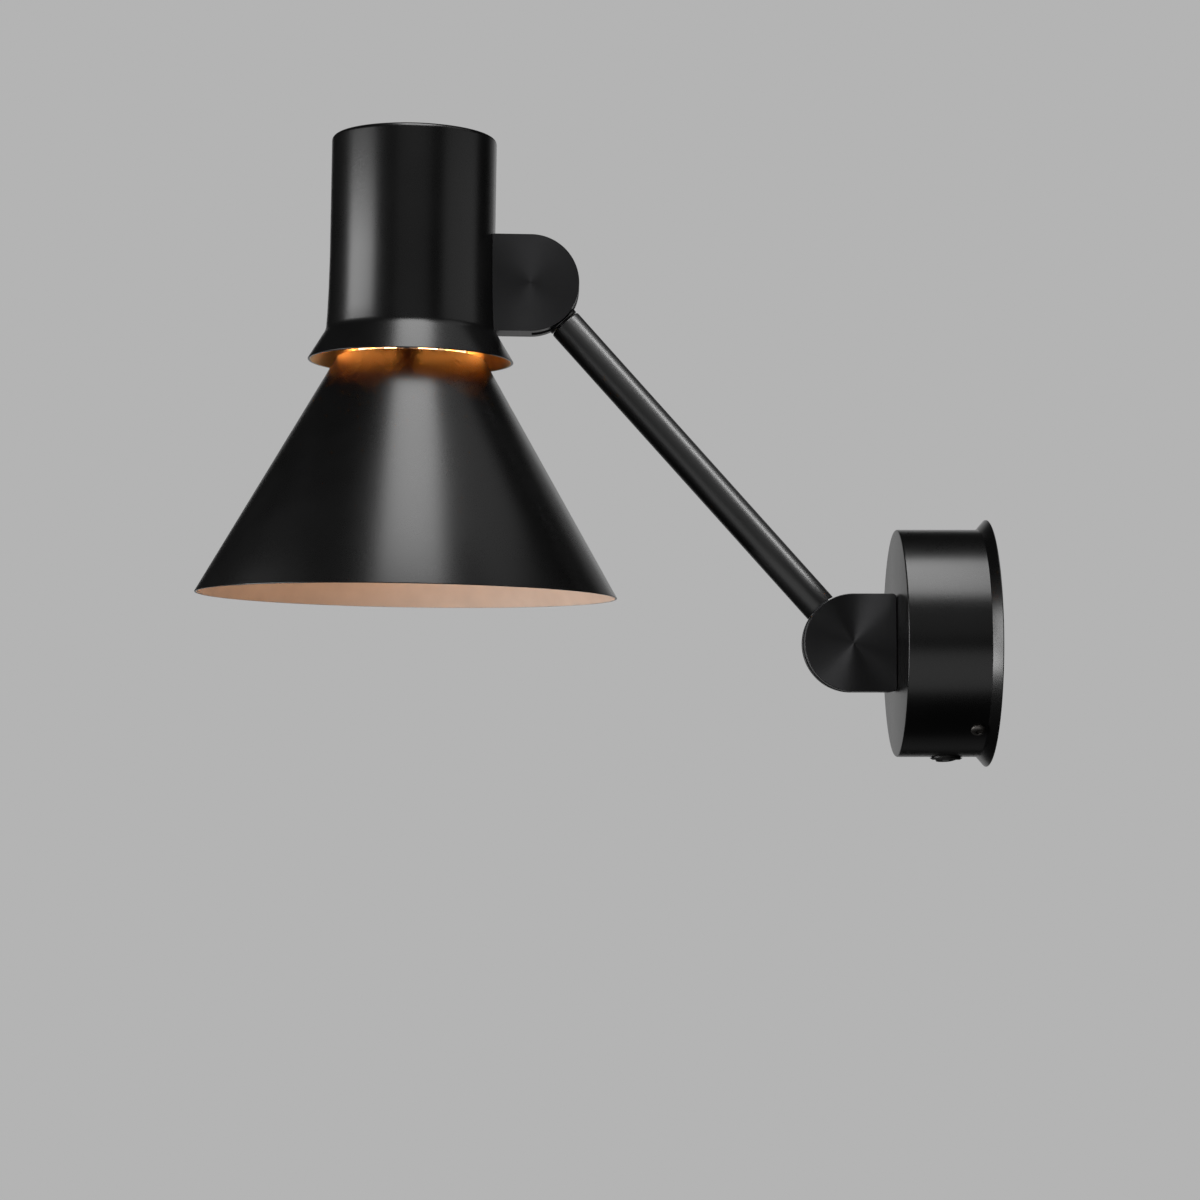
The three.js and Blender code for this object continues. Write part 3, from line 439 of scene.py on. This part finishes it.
def moulded(name, low, high, rough, depth=0.008, grain=1800):
    """Moulded plastic or rubber with a fine spark-eroded grain."""
    finish = Finish(name, IOR=1.5)
    cloud = finish.noise(90, 3)
    finish.colour(finish.spread(cloud, 0, 1), low, high)
    texture = finish.noise(grain, 2)
    finish.roughness(finish.spread(texture, *rough))
    finish.bump(texture, depth)
    return finish.material


def grey(value):
    return (value, value, value)


paint_wall = powder_coat("black_powder_coat_wall_box")
paint_cap = powder_coat("black_powder_coat_cap")
paint_shade = powder_coat("black_powder_coat_shade")
paint_tube = powder_coat("black_powder_coat_tube", rough=(0.36, 0.39), ior=1.7, grain_depth=0.0001)
shade_inside = moulded("warm_white_shade_lining", (0.60, 0.53, 0.47), (0.66, 0.585, 0.52),
                       (0.5, 0.62))
cap_inside = plated("golden_cap_lining", (0.84, 0.46, 0.15), (0.92, 0.53, 0.19), (0.36, 0.46))
base_metal = turned_metal("black_anodised_base", base_pivot, 0.050, (0.36, 0.42), 0.88, 0.0015,
                          turned_by=40.0)
head_metal = turned_metal("black_anodised_head", head_pivot, 0.044, (0.42, 0.48), 0.35, 0.001)
link_metal = plated("black_anodised_link", grey(0.10), grey(0.13), (0.38, 0.44), depth=0.001)
zinc = plated("bright_zinc_steel", (0.50, 0.51, 0.53), (0.62, 0.63, 0.66), (0.30, 0.42))
spring_steel = plated("spring_steel", (0.42, 0.42, 0.43), (0.52, 0.52, 0.53), (0.28, 0.36))
screw_black = plated("black_oxide_steel", (0.095, 0.090, 0.085), (0.135, 0.127, 0.12),
                     (0.36, 0.46))
brass = plated("turned_brass", (0.70, 0.50, 0.20), (0.82, 0.61, 0.27), (0.24, 0.34))
nickel = plated("bulb_cap_nickel", (0.60, 0.59, 0.57), (0.72, 0.71, 0.69), (0.22, 0.32))
plastic = moulded("black_plastic", grey(0.010), grey(0.016), (0.42, 0.52))
gloss_plastic = moulded("gloss_black_plastic", grey(0.006), grey(0.009), (0.16, 0.22), 0.002)
white_plastic = moulded("white_plastic", grey(0.66), grey(0.74), (0.42, 0.52))
nylon = moulded("natural_nylon", (0.62, 0.59, 0.52), (0.70, 0.67, 0.60), (0.5, 0.6))
rubber = moulded("black_lead_rubber", grey(0.014), grey(0.022), (0.55, 0.65), 0.012, 1200)


BULB_LIGHT, BULB_STRENGTH = (1.0, 0.54, 0.27), 6.0


def opal_glass():
    """Frosted bulb glass that glows warm."""
    finish = Finish("opal_bulb_glass", Roughness=0.35, IOR=1.5)
    finish.colour(finish.spread(finish.noise(120, 2), 0, 1), (0.80, 0.72, 0.62), (0.88, 0.80, 0.70))
    finish.shader.inputs["Emission Color"].default_value = (*BULB_LIGHT, 1)
    finish.shader.inputs["Emission Strength"].default_value = BULB_STRENGTH
    finish.bump(finish.noise(1500, 2), 0.004)
    return finish.material


opal = opal_glass()

# ---------------------------------------------------------------- wall box


def wall_cover():
    inner = BOX_RADIUS - BOX_WALL
    profile = soften([
        (0, -BOX_DEPTH),
        (BOX_RADIUS, -BOX_DEPTH, 0.8),
        (BOX_RADIUS, -FLARE_DEPTH, 0.6),
        (FLARE_RADIUS, -FLARE_LIFT - 0.3, 0.2),
        (FLARE_RADIUS - 0.5, -FLARE_LIFT, 0.2),
        (FLARE_RADIUS - 1.6, -FLARE_LIFT),
        (inner, -FLARE_DEPTH - 0.1, 0.3),
        (inner, -BOX_DEPTH + 2, 0.8),
        (0, -BOX_DEPTH + 2),
    ])
    shell = moved(turned(profile, FACETS_SHELL), ALONG_Y)
    radius, below, above = BARREL_RADIUS + GAP, -BOX_RADIUS - 6, -BOX_RADIUS + 9
    hole = turned([(0, below), (radius, below), (radius, above), (0, above)], FACETS_BORE)
    return carved(shell, [moved(hole, shift(0, -SWITCH_DEPTH, 0))])


piece("wall_cover_shell", wall_cover(), WALL, "wall_base",
      [paint_wall], ["wall_cover"])


def hex_row(radius, height):
    """A six-sided row for a socket, given the radius to its corners."""
    def row(angle):
        part = (angle % (math.pi / 3)) - math.pi / 6
        return radius * math.cos(math.pi / 6) / math.cos(part), height
    return row


def socket_screw(head, height, shank, length, socket, depth, domed=False):
    """A screw along +Z whose head stands on z = 0, with a six-sided socket in it."""
    if domed:
        crown = [(head, 0.0), (head, height * 0.3), (head * 0.93, height * 0.52),
                 (head * 0.80, height * 0.74), (head * 0.62, height * 0.91),
                 (head * 0.50, height * 0.97)]
    else:
        crown = soften([(head, 0, 0.15), (head, height, 0.35), (socket * 1.12, height)])
    rows = [(0, -length), (shank * 0.85, -length), (shank, -length + 0.3), (shank, -0.01), *crown]
    rows += [hex_row(socket * 1.08, height), hex_row(socket, height - 0.12),
             hex_row(socket, height - depth), (0, height - depth - 0.25)]
    return turned(rows)


for name, side in (("left", -1), ("right", 1)):
    angle = side * COVER_SCREW_ANGLE
    seat = BOX_RADIUS + 0.1
    place = shift(math.sin(math.radians(angle)) * seat, -COVER_SCREW_DEPTH,
                  -math.cos(math.radians(angle)) * seat)
    piece("cover_button_" + name, socket_screw(**COVER_SCREW, domed=True),
          WALL @ place @ turn("Y", 180 - angle), "wall_base",
          [screw_black], ["cover_screw_" + name])

# ---------------------------------------------------------------- switch


def switch_body():
    recess = ROCKER_RADIUS + 0.8
    return turned(soften([
        (0, -36),
        (BARREL_RADIUS, -36, 0.3),
        (BARREL_RADIUS, -BOX_RADIUS - GAP),
        (BEZEL_RADIUS, -BOX_RADIUS - GAP, 0.1),
        (BEZEL_RADIUS - 0.1, -BOX_RADIUS - 0.6, 0.3),
        (recess + 0.4, -BOX_RADIUS - 1.35, 0.3),
        (recess, -BOX_RADIUS - 1.35, 0.15),
        (recess, -ROCKER_PIVOT + 3.3),
        (0, -ROCKER_PIVOT + 3.3),
    ]))


def paddle():
    """A round paddle, domed about X, with a softened edge."""
    def row(radius, lift=0.0):
        def point(angle):
            across = radius * math.sin(angle)
            drop = math.sqrt(ROCKER_DOME**2 - across**2)
            return radius, ROCKER_DOME - ROCKER_CROWN - drop + lift
        return point
    rows = [(0, -ROCKER_CROWN), row(1.5), row(3.0), row(4.2), row(ROCKER_RADIUS - 0.4),
            row(ROCKER_RADIUS - 0.12, 0.12), row(ROCKER_RADIUS, 0.4), (ROCKER_RADIUS, 2), (0, 2)]
    return turned(rows)


switch_place = shift(0, -SWITCH_DEPTH, 0)
piece("switch_bezel", switch_body(), WALL @ switch_place, "wall_base",
      [plastic], ["switch_housing"])
piece("switch_paddle", paddle(),
      WALL @ switch_place @ shift(0, 0, -ROCKER_PIVOT) @ turn("X", ROCKER_TILT),
      "rocker", [gloss_plastic], ["switch_rocker"])

# ---------------------------------------------------------------- knuckles


def d_outline(reach, corner=2.0):
    """The D seen along X, as (y, z): round on the side that the arm leaves by."""
    return [
        *arc(0, 0, KNUCKLE_RADIUS, 90, 270, 96),
        *arc(reach - corner, -KNUCKLE_RADIUS + corner, corner, -90, 0, 8),
        *arc(reach - corner, KNUCKLE_RADIUS - corner, corner, 0, 90, 8),
    ]


def rod(radius, low, high, y=0.0, z=0.0):
    """A round bar along X, to cut bores with."""
    mesh = turned([(0, low), (radius, low), (radius, high), (0, high)], FACETS_BORE)
    return moved(mesh, shift(0, y, z) @ ALONG_X)


def knuckle_block(reach, ends):
    window = [
        *arc(0, 0, KNUCKLE_RADIUS + 3, 180 - WINDOW_ANGLE, 180 + WINDOW_ANGLE, 88),
        *arc(0, 0, POCKET_RADIUS - 3, 180 + WINDOW_ANGLE, 180 - WINDOW_ANGLE, 44),
    ]
    half = math.degrees(math.acos(POCKET_REACH / POCKET_RADIUS))
    pocket = arc(0, 0, POCKET_RADIUS, half, 360 - half, 96)
    cutters = [slab(pocket, KNUCKLE_SPLIT - 1, POCKET_FRONT),
               slab(window, -WINDOW_HALF, WINDOW_HALF)]
    return carved(slab(d_outline(reach), KNUCKLE_SPLIT, KNUCKLE_HALF), cutters + ends)


def knuckle_plate(reach, screw_y, ends):
    rear = -KNUCKLE_HALF
    cutters = [rod(PIVOT_SCREW["head"] + GAP, rear - 1, rear + PIVOT_SCREW["height"] + 2 * GAP)]
    for side in (-1, 1):
        cutters.append(rod(PLATE_SCREW["head"] + GAP, rear - 1, rear + PLATE_SCREW_RECESS,
                           screw_y, side * PLATE_SCREW_OFFSET))
    return carved(slab(d_outline(reach), rear, KNUCKLE_SPLIT - GAP), cutters + ends)


def cap_outline(offset=0.0):
    """The outside of the lamp cap as (radius, height), from the top corner down."""
    body = [
        *arc(CAP_RADIUS - CAP_CORNER, CAP_TOP - CAP_CORNER, CAP_CORNER, 90, 0, 10),
        (CAP_RADIUS, 12),
        (CAP_RADIUS + 0.3, -4),
        (CAP_RADIUS + 0.7, -15),
        CREASE,
        SKIRT,
    ]
    return [(radius + offset, height) for radius, height in body]


def add_knuckle(prefix, matrix, body, metal, reach, screw_y, ends):
    piece(prefix + "_knuckle_block", knuckle_block(reach, ends()), matrix, body,
          [metal], [prefix + "_knuckle_body"], bevel=0.35)
    piece(prefix + "_knuckle_rear_plate", knuckle_plate(reach, screw_y, ends()), matrix, body,
          [metal], [prefix + "_knuckle_plate"], bevel=0.3)
    rear = -KNUCKLE_HALF
    to_rear = turn("Y", -90)
    place = shift(rear + PIVOT_SCREW["height"] + GAP, 0, 0)
    piece(prefix + "_pivot_bolt", socket_screw(**PIVOT_SCREW), matrix @ place @ to_rear,
          body, [screw_black], [prefix + "_pivot_screw"])
    for number, side in ((1, 1), (2, -1)):
        place = shift(rear + PLATE_SCREW_RECESS - GAP, screw_y, side * PLATE_SCREW_OFFSET)
        piece(f"{prefix}_plate_bolt_{number}", socket_screw(**PLATE_SCREW),
              matrix @ place @ to_rear, body, [screw_black],
              [f"{prefix}_plate_screw_{number}"])


def cap_cutter():
    rows = [(0, CAP_TOP + 1), *cap_outline(GAP / 2), (0, SKIRT[1])]
    return moved(turned(rows, FACETS_RING), shift(0, HEAD_REACH, 0) @ turn("X", 180))


add_knuckle("base", BASE_KNUCKLE, "wall_base", base_metal, BASE_REACH, BASE_PLATE_SCREWS,
            lambda: [])
add_knuckle("head", HEAD_KNUCKLE, "lamp_head", head_metal, HEAD_REACH - CAP_RADIUS + 3,
            HEAD_PLATE_SCREWS, lambda: [cap_cutter()])

# ---------------------------------------------------------------- arm


def saddle(radius, hollow, lift=0.0):
    """A row that follows a cylinder along X of the given radius."""
    def row(angle):
        return radius, math.sqrt(hollow**2 - (radius * math.sin(angle))**2) + lift
    return row


def tube():
    end = ARM_LENGTH - TUBE_END
    hollow = KNUCKLE_RADIUS + 0.5
    rows = [
        saddle(TUBE_RADIUS - 0.25, hollow),
        saddle(TUBE_RADIUS - 0.07, hollow, 0.07),
        saddle(TUBE_RADIUS, hollow, 0.25),
        (TUBE_RADIUS, 60), (TUBE_RADIUS, 130),
        *arc(TUBE_RADIUS - 0.8, end - 0.8, 0.8, 0, 90, 6),
        (TUBE_BORE, end),
        saddle(TUBE_BORE, hollow),
    ]
    return turned(rows, FACETS_TUBE, closed=True)


arm_tube = piece("arm_tube_skin", tube(), ARM, "arm", [paint_tube],
                 ["arm_tube"])


def tongue(neck_end):
    """The flat link that turns in a knuckle: a round hub, bored for the pivot screw, and a
    straight neck along +Z."""
    spread = math.degrees(math.acos(TONGUE_NECK / HUB_RADIUS))
    outline = [(TONGUE_NECK, neck_end), (-TONGUE_NECK, neck_end),
               *arc(0, 0, HUB_RADIUS, 180 - spread, 360 + spread, 72)]
    bore = rod(PIVOT_HOLE, -TONGUE_HALF - 1, TONGUE_HALF + 1)
    return carved(slab(outline, -TONGUE_HALF, TONGUE_HALF), [bore])


def lower_link():
    radius = TUBE_BORE - GAP
    spigot = soften([(0, 24.2), (radius, 24.2, 0.3), (radius, 48, 0.5), (0, 48)])
    return joined(tongue(26.5), turned(spigot))


def swivel_link():
    hollow = KNUCKLE_RADIUS + GAP
    radius = TUBE_RADIUS - 0.2
    collar = turned([
        (0, hollow), saddle(2.0, hollow), saddle(5.0, hollow), saddle(radius - 0.25, hollow),
        saddle(radius - 0.07, hollow, 0.07), saddle(radius, hollow, 0.25),
        *arc(radius - 0.25, COLLAR_END - 0.25, 0.25, 0, 90, 4),
        (SPIGOT_RADIUS, COLLAR_END),
        (SPIGOT_RADIUS, 46), (SPIGOT_RADIUS - 0.5, 46.5), (0, 46.5),
    ], FACETS_TUBE)
    return joined(tongue(COLLAR_END - 0.2), collar)


piece("lower_tongue_link", lower_link(), ARM, "arm", [zinc], ["lower_tongue"])
piece("swivel_tongue_link", swivel_link(), UPPER_END, "swivel",
      [link_metal], ["swivel_tongue"])

# ---------------------------------------------------------------- lamp head


def lamp_cap():
    outer = [(0, CAP_TOP), *cap_outline()]
    outer[-2] = (*CREASE, 7.0)
    outer[-1] = (*SKIRT, 0.3)
    profile = soften(outer + [
        (SKIRT[0] - 1.5, SKIRT[1], 0.3),
        (CREASE[0] - 1.4, CREASE[1] - 0.8, 0.7),
        (CAP_RADIUS - CAP_WALL, 12),
        (CAP_RADIUS - CAP_WALL, CAP_TOP - CAP_WALL, 1.0),
        (0, CAP_TOP - CAP_WALL),
    ])
    mesh = turned(profile, FACETS_SHELL)
    for face in mesh.faces:
        centre = face.calc_center_median()
        reach = math.hypot(centre.x, centre.y)
        inward = face.normal.x * centre.x + face.normal.y * centre.y < -1e-4 * reach
        ceiling = face.normal.z < -0.9 and centre.z > 0
        face.material_index = 1 if inward or ceiling else 0
    return mesh


piece("lamp_cap_shell", lamp_cap(), LAMP, "lamp_head",
      [paint_cap, cap_inside], ["lamp_cap"])


def shade_cone():
    profile = soften([
        (FLANGE_RADIUS, SHADE_TOP[1], 0.2),
        (SHADE_TOP[0] - 0.35, SHADE_TOP[1], 1.0),
        (SHADE_RIM[0], SHADE_RIM[1], 0.25),
        (SHADE_RIM[0] - SHADE_WALL, SHADE_RIM[1], 0.25),
        (SHADE_TOP[0] - 1.6, SHADE_TOP[1] - SHADE_WALL - 0.2, 0.8),
        (FLANGE_RADIUS, SHADE_TOP[1] - SHADE_WALL, 0.2),
    ], closed=True)
    mesh = turned(profile, FACETS_SHADE, closed=True)
    for face in mesh.faces:
        centre = face.calc_center_median()
        inward = face.normal.x * centre.x + face.normal.y * centre.y < 0
        below = face.normal.z < -0.3 and centre.z > SHADE_RIM[1] + 5
        face.material_index = 1 if inward or below else 0
    return mesh


piece("shade_cone", shade_cone(), LAMP, "lamp_head",
      [paint_shade, shade_inside], ["shade"])


def spider():
    """The plate that carries the shade: a ring with three cranked struts."""
    low, under = SHADE_TOP[1] + GAP, SPIDER_TOP - SPIDER_THICKNESS
    side = [
        (18.5, SPIDER_TOP), (SPIDER_BEND - 0.5, SPIDER_TOP, 1.2),
        (SPIDER_BEND + 0.5, low + SPIDER_THICKNESS, 0.6), (SPIDER_FOOT, low + SPIDER_THICKNESS),
        (SPIDER_FOOT, low), (SPIDER_BEND - 0.9, low, 1.2),
        (SPIDER_BEND - 1.9, under, 0.6), (18.5, under),
    ]
    hub = turned([
        (HOLDER_THREAD + GAP, under), (SPIDER_RING, under),
        (SPIDER_RING, SPIDER_TOP), (HOLDER_THREAD + GAP, SPIDER_TOP),
    ], FACETS_PLATE, closed=True)
    arms = []
    for angle in SPIDER_TURNS:
        arm = slab(soften(side, closed=True), -SPIDER_WIDTH / 2, SPIDER_WIDTH / 2)
        arms.append(moved(arm, turn("Z", angle - 90)))
    return carved(hub, [], arms)


piece("shade_spider_plate", spider(), LAMP, "lamp_head", [zinc], ["shade_spider"],
      bevel=0.2)

ring_top = SPIDER_TOP - SPIDER_THICKNESS - GAP


def clamp_ring():
    """The threaded ring, with shallow finger notches round it."""
    def notch(radius, height):
        def row(angle):
            dip = max(0.0, math.cos(angle * 12)) ** 4
            return radius - 0.8 * dip, height
        return row
    return turned([
        (HOLDER_THREAD + GAP, ring_top - 3), notch(SPIDER_RING - 0.4, ring_top - 3),
        notch(SPIDER_RING, ring_top - 2.6), notch(SPIDER_RING, ring_top - 0.4),
        notch(SPIDER_RING - 0.4, ring_top), (HOLDER_THREAD + GAP, ring_top),
    ], FACETS_RING, closed=True)


piece("shade_clamp_ring", clamp_ring(), LAMP, "lamp_head", [plastic],
      ["shade_ring"])


def rivet():
    head_seat = SHADE_TOP[1] + SPIDER_THICKNESS + 2 * GAP
    tail_seat = SHADE_TOP[1] - SHADE_WALL - GAP
    return turned(soften([
        (0, tail_seat - 1), (RIVET_HEAD - 0.5, tail_seat - 1, 0.4), (RIVET_HEAD, tail_seat),
        (RIVET_SHANK, tail_seat), (RIVET_SHANK, head_seat), (RIVET_HEAD, head_seat),
        (RIVET_HEAD - 0.4, head_seat + 1.0, 0.6), (0, head_seat + 1.3),
    ]), FACETS_RIVET)


for number, angle in enumerate(SPIDER_TURNS, 1):
    piece(f"shade_rivet_pin_{number}", rivet(), LAMP @ turn("Z", angle) @ shift(RIVET_PLACE, 0, 0),
          "lamp_head", [zinc], [f"shade_rivet_{number}"])


def holder():
    rows = soften([
        (2.8, 35), (HOLDER_STEM, 35, 0.3), (HOLDER_STEM, 24, 0.4), (12, 24, 1.0),
        (HOLDER_RADIUS, 23, 4.5), (HOLDER_RADIUS, HOLDER_SHOULDER, 0.4),
        (HOLDER_THREAD, HOLDER_SHOULDER), (HOLDER_THREAD, -26.4),
    ])
    for i in range(4):
        rows += [(HOLDER_THREAD - 0.5, -27.0 - i), (HOLDER_THREAD, -27.5 - i)]
    rows += soften([
        (HOLDER_THREAD, -30.6), (HOLDER_THREAD - 0.4, HOLDER_END), (HOLDER_MOUTH, HOLDER_END, 0.4),
        (HOLDER_MOUTH, -3), (2.8, -3),
    ])
    return turned(rows, FACETS_TUBE, closed=True)


piece("lamp_holder_body", holder(), LAMP, "lamp_head", [plastic],
      ["lamp_holder"])


def globe():
    rows = soften([
        (0, BULB_TOP), (BULB_NECK, BULB_TOP, 0.3), (BULB_NECK + 0.5, BULB_TOP - 6, 6),
        (BULB_NECK + 4.2, BULB_TOP - 15.5, 8),
    ], steps=6)
    rows += arc(0, BULB_CENTRE, BULB_RADIUS, 46, -86, 32)
    return turned(rows + [(0, BULB_CENTRE - BULB_RADIUS)])


bulb = piece("bulb_globe", globe(), LAMP, "lamp_head", [opal], ["bulb_glass"],
             crease=60)
bulb.visible_shadow = False  # lets the light that stands in it out


def bulb_cap():
    """The bulb's metal cap, its thread as three round ridges, and the contact on its end."""
    ridges, steps = 3, 24
    rows = [(0, BULB_TOP + GAP), (12.4, BULB_TOP + GAP), (12.6, BULB_TOP + 0.6),
            (12.6, BULB_TOP + 4)]
    for i in range(steps):
        angle = i / (steps / ridges) * 2 * math.pi
        rows.append((12.85 + 0.35 * math.cos(angle), BULB_TOP + 5 + 15 * i / (steps - 1)))
    rows += [(9.5, BULB_TOP + 22.5), (9, BULB_TOP + 23), (4.8, BULB_TOP + 24),
             (4.8, BULB_TOP + 25.2), (4.2, BULB_TOP + 25.5), (0, BULB_TOP + 25.5)]
    return turned(rows)


piece("bulb_screw_cap", bulb_cap(), LAMP, "lamp_head", [nickel], ["bulb_base"],
      crease=50)

# ---------------------------------------------------------------- carried-over parts

carried = {
    zinc: ["wall_plate", "backing_plate", "base_mount_screw_upper", "base_mount_screw_lower",
           "terminal_block_screw", "switch_pivot_pin", "holder_bracket", "holder_nut",
           "head_mount_screw_upper", "head_mount_screw_lower", "swivel_stop_pin"],
    spring_steel: ["swivel_circlip", "base_disc_spring", "head_disc_spring"],
    brass: ["earth_screw", "lower_pivot_bush", "upper_pivot_bush", "swivel_bush", "holder_contact"],
    white_plastic: ["terminal_block"],
    nylon: ["base_friction_washer_front", "base_friction_washer_rear",
            "head_friction_washer_front", "head_friction_washer_rear"],
    plastic: ["switch_nut"],
    rubber: ["lead_wall", "lead_switch", "lead_arm", "lead_head"],
}
pressed = ("wall_plate", "backing_plate", "holder_bracket", "terminal_block")  # soft edges
for material, names in carried.items():
    for name in names:
        obj = frame["nodes"][name]
        obj.data.materials.clear()
        obj.data.materials.append(material)
        if name in pressed:
            modifier = obj.modifiers.new("edge", "BEVEL")
            modifier.width = 0.4 * MM
            modifier.segments = 2
            modifier.limit_method = "ANGLE"

# ---------------------------------------------------------------- camera

CAMERA_PLACE = (1.3768, -0.2006, -0.0578)
CAMERA_PITCH, CAMERA_YAW = 3.256, 0.69  # degrees up, and round from -X towards +Y
CAMERA_LENS, CAMERA_SENSOR = 87.0, 36.0

pitch, yaw = math.radians(CAMERA_PITCH), math.radians(CAMERA_YAW)
view = Vector((-math.cos(pitch) * math.cos(yaw), math.cos(pitch) * math.sin(yaw), math.sin(pitch)))
camera_data = bpy.data.cameras.new("camera")
camera_data.lens = CAMERA_LENS
camera_data.sensor_width = CAMERA_SENSOR
camera = bpy.data.objects.new("camera", camera_data)
camera.location = CAMERA_PLACE
camera.rotation_euler = view.to_track_quat("-Z", "Y").to_euler()
bpy.context.scene.collection.objects.link(camera)
bpy.context.scene.camera = camera

# ---------------------------------------------------------------- light and floor


def softbox(name, place, faces, size, radiance, along=None):
    """A soft rectangle of light at a place, turned to face another place. Its width runs
    along the given direction, or level. The camera doesn't see it."""
    toward = (Vector(place) - Vector(faces)).normalized()
    light = bpy.data.lights.new(name, "AREA")
    light.shape = "RECTANGLE"
    light.size, light.size_y = size
    light.energy = 4.0 * radiance * size[0] * size[1]
    obj = bpy.data.objects.new(name, light)
    side = Vector(along) if along else Vector((0, 0, 1)).cross(toward)
    side = (side - toward * side.dot(toward)).normalized()
    basis = Matrix((side, toward.cross(side), toward)).transposed().to_4x4()
    obj.matrix_world = Matrix.Translation(place) @ basis
    obj.visible_camera = False
    bpy.context.scene.collection.objects.link(obj)
    return obj


AT_LAMP, AT_WALL = (0.0, -0.27, 0.1), (0.0, 0.0, 0.0)
AT_MIDDLE, AT_MIDDLE_HIGH = (0.0, -0.2, 0.05), (0.0, -0.2, 0.1)
ACROSS = (1, 0, 0)
DOWN_THE_TUBE = (0, -0.667, 0.745)

# Each box's place, what it faces, its size in metres, its radiance and its width's direction.
softboxes = {
    "overhead": ((0.46, -0.180, 1.10), (0.0, -0.180, 0.05), (0.95, 0.62), 5.1, ACROSS),
    "left": ((0.33, -1.28, 0.20), (0.0, -0.2, 0.06), (0.80, 0.50), 6.0, None),
    "left_low": ((0.17, -1.16, -0.22), AT_WALL, (0.4, 0.26), 9.0, None),
    "tube_strip": ((0.104, 0.076, 0.336), (-0.038, -0.132, 0.093), (0.48, 0.080), 9.5,
                   DOWN_THE_TUBE),
    "right": ((0.35, 0.85, 0.35), AT_LAMP, (1.2, 0.5), 0.45, None),
    "right_behind": ((-0.85, 0.20, 0.30), AT_LAMP, (0.5, 0.5), 0.2, None),
    "front_low": ((1.0, -0.38, -0.60), AT_MIDDLE, (1.6, 0.9), 0.55, None),
    "behind": ((-1.2, -0.2, 0.05), AT_MIDDLE, (1.1, 1.1), 0.34, None),
    "overhead_right": ((0.25, 0.45, 0.95), AT_MIDDLE, (0.75, 0.65), 0.45, ACROSS),
    "low_behind": ((-0.55, 0.0, -0.85), AT_WALL, (0.8, 0.5), 0.06, None),
    "floor_wash": ((0, 0, -0.6), (0, 0, -1.0), (4.8, 4.8), 0.35, ACROSS),
    "front": ((1.2, -0.2, 0.35), AT_MIDDLE_HIGH, (1.0, 0.6), 0.18, None),
}
studio = {name: softbox(name, *setting) for name, setting in softboxes.items()}

# The strip makes the long highlight on the tube and lights nothing else.
lit_by_strip = bpy.data.collections.new("lit_by_tube_strip")
lit_by_strip.objects.link(arm_tube)
studio["tube_strip"].light_linking.receiver_collection = lit_by_strip

# The light that the bulb throws up into the cap, which moves with the lamp head.
GLOW_POWER, GLOW_COLOUR = 1.9, (1.0, 0.62, 0.33)
GLOW_RADIUS, GLOW_HEIGHT, GLOW_ANGLE, GLOW_BLEND = 8, -52, 150, 0.2

glow = bpy.data.lights.new("bulb_glow", "SPOT")
glow.energy = GLOW_POWER
glow.color = GLOW_COLOUR
glow.shadow_soft_size = GLOW_RADIUS * MM
glow.spot_size = math.radians(GLOW_ANGLE)
glow.spot_blend = GLOW_BLEND
glow_object = bpy.data.objects.new("bulb_glow", glow)
upward = LAMP.to_quaternion().to_matrix().to_4x4() @ turn("X", 180)
glow_place = (LAMP @ shift(0, 0, GLOW_HEIGHT)).translation
glow_object.matrix_world = Matrix.Translation(glow_place) @ upward
bpy.context.scene.collection.objects.link(glow_object)
head_body = frame["bodies"]["lamp_head"]
glow_object.parent = head_body
glow_object.matrix_parent_inverse = head_body.matrix_world.inverted()

# The backdrop is the photograph's plain grey to the camera and nearly dark to everything else.
BACKDROP_GREY, FILL_GREY = 0.456, 0.010

world = bpy.data.worlds.new("studio")
bpy.context.scene.world = world
world.use_nodes = True
nodes, links = world.node_tree.nodes, world.node_tree.links
nodes.clear()
seen = nodes.new("ShaderNodeBackground")
seen.inputs["Color"].default_value = (*grey(BACKDROP_GREY), 1)
unseen = nodes.new("ShaderNodeBackground")
unseen.inputs["Color"].default_value = (*grey(FILL_GREY), 1)
choice = nodes.new("ShaderNodeMixShader")
path = nodes.new("ShaderNodeLightPath")
output = nodes.new("ShaderNodeOutputWorld")
links.new(path.outputs["Is Camera Ray"], choice.inputs["Fac"])
links.new(unseen.outputs["Background"], choice.inputs[1])
links.new(seen.outputs["Background"], choice.inputs[2])
links.new(choice.outputs["Shader"], output.inputs["Surface"])
bpy.context.scene.view_settings.view_transform = "Standard"

FLOOR_RADIUS, FLOOR_HEIGHT = 2.4, -1.0

floor_finish = Finish("pale_floor", Roughness=0.8)
floor_finish.colour(floor_finish.spread(floor_finish.noise(3, 3), 0, 1), grey(0.70), grey(0.74))
floor = as_object("floor", turned([(FLOOR_RADIUS * part / 3, 0) for part in range(4)]))
floor.location.z = FLOOR_HEIGHT
floor.data.materials.append(floor_finish.material)
floor.visible_glossy = False
floor.visible_diffuse = False
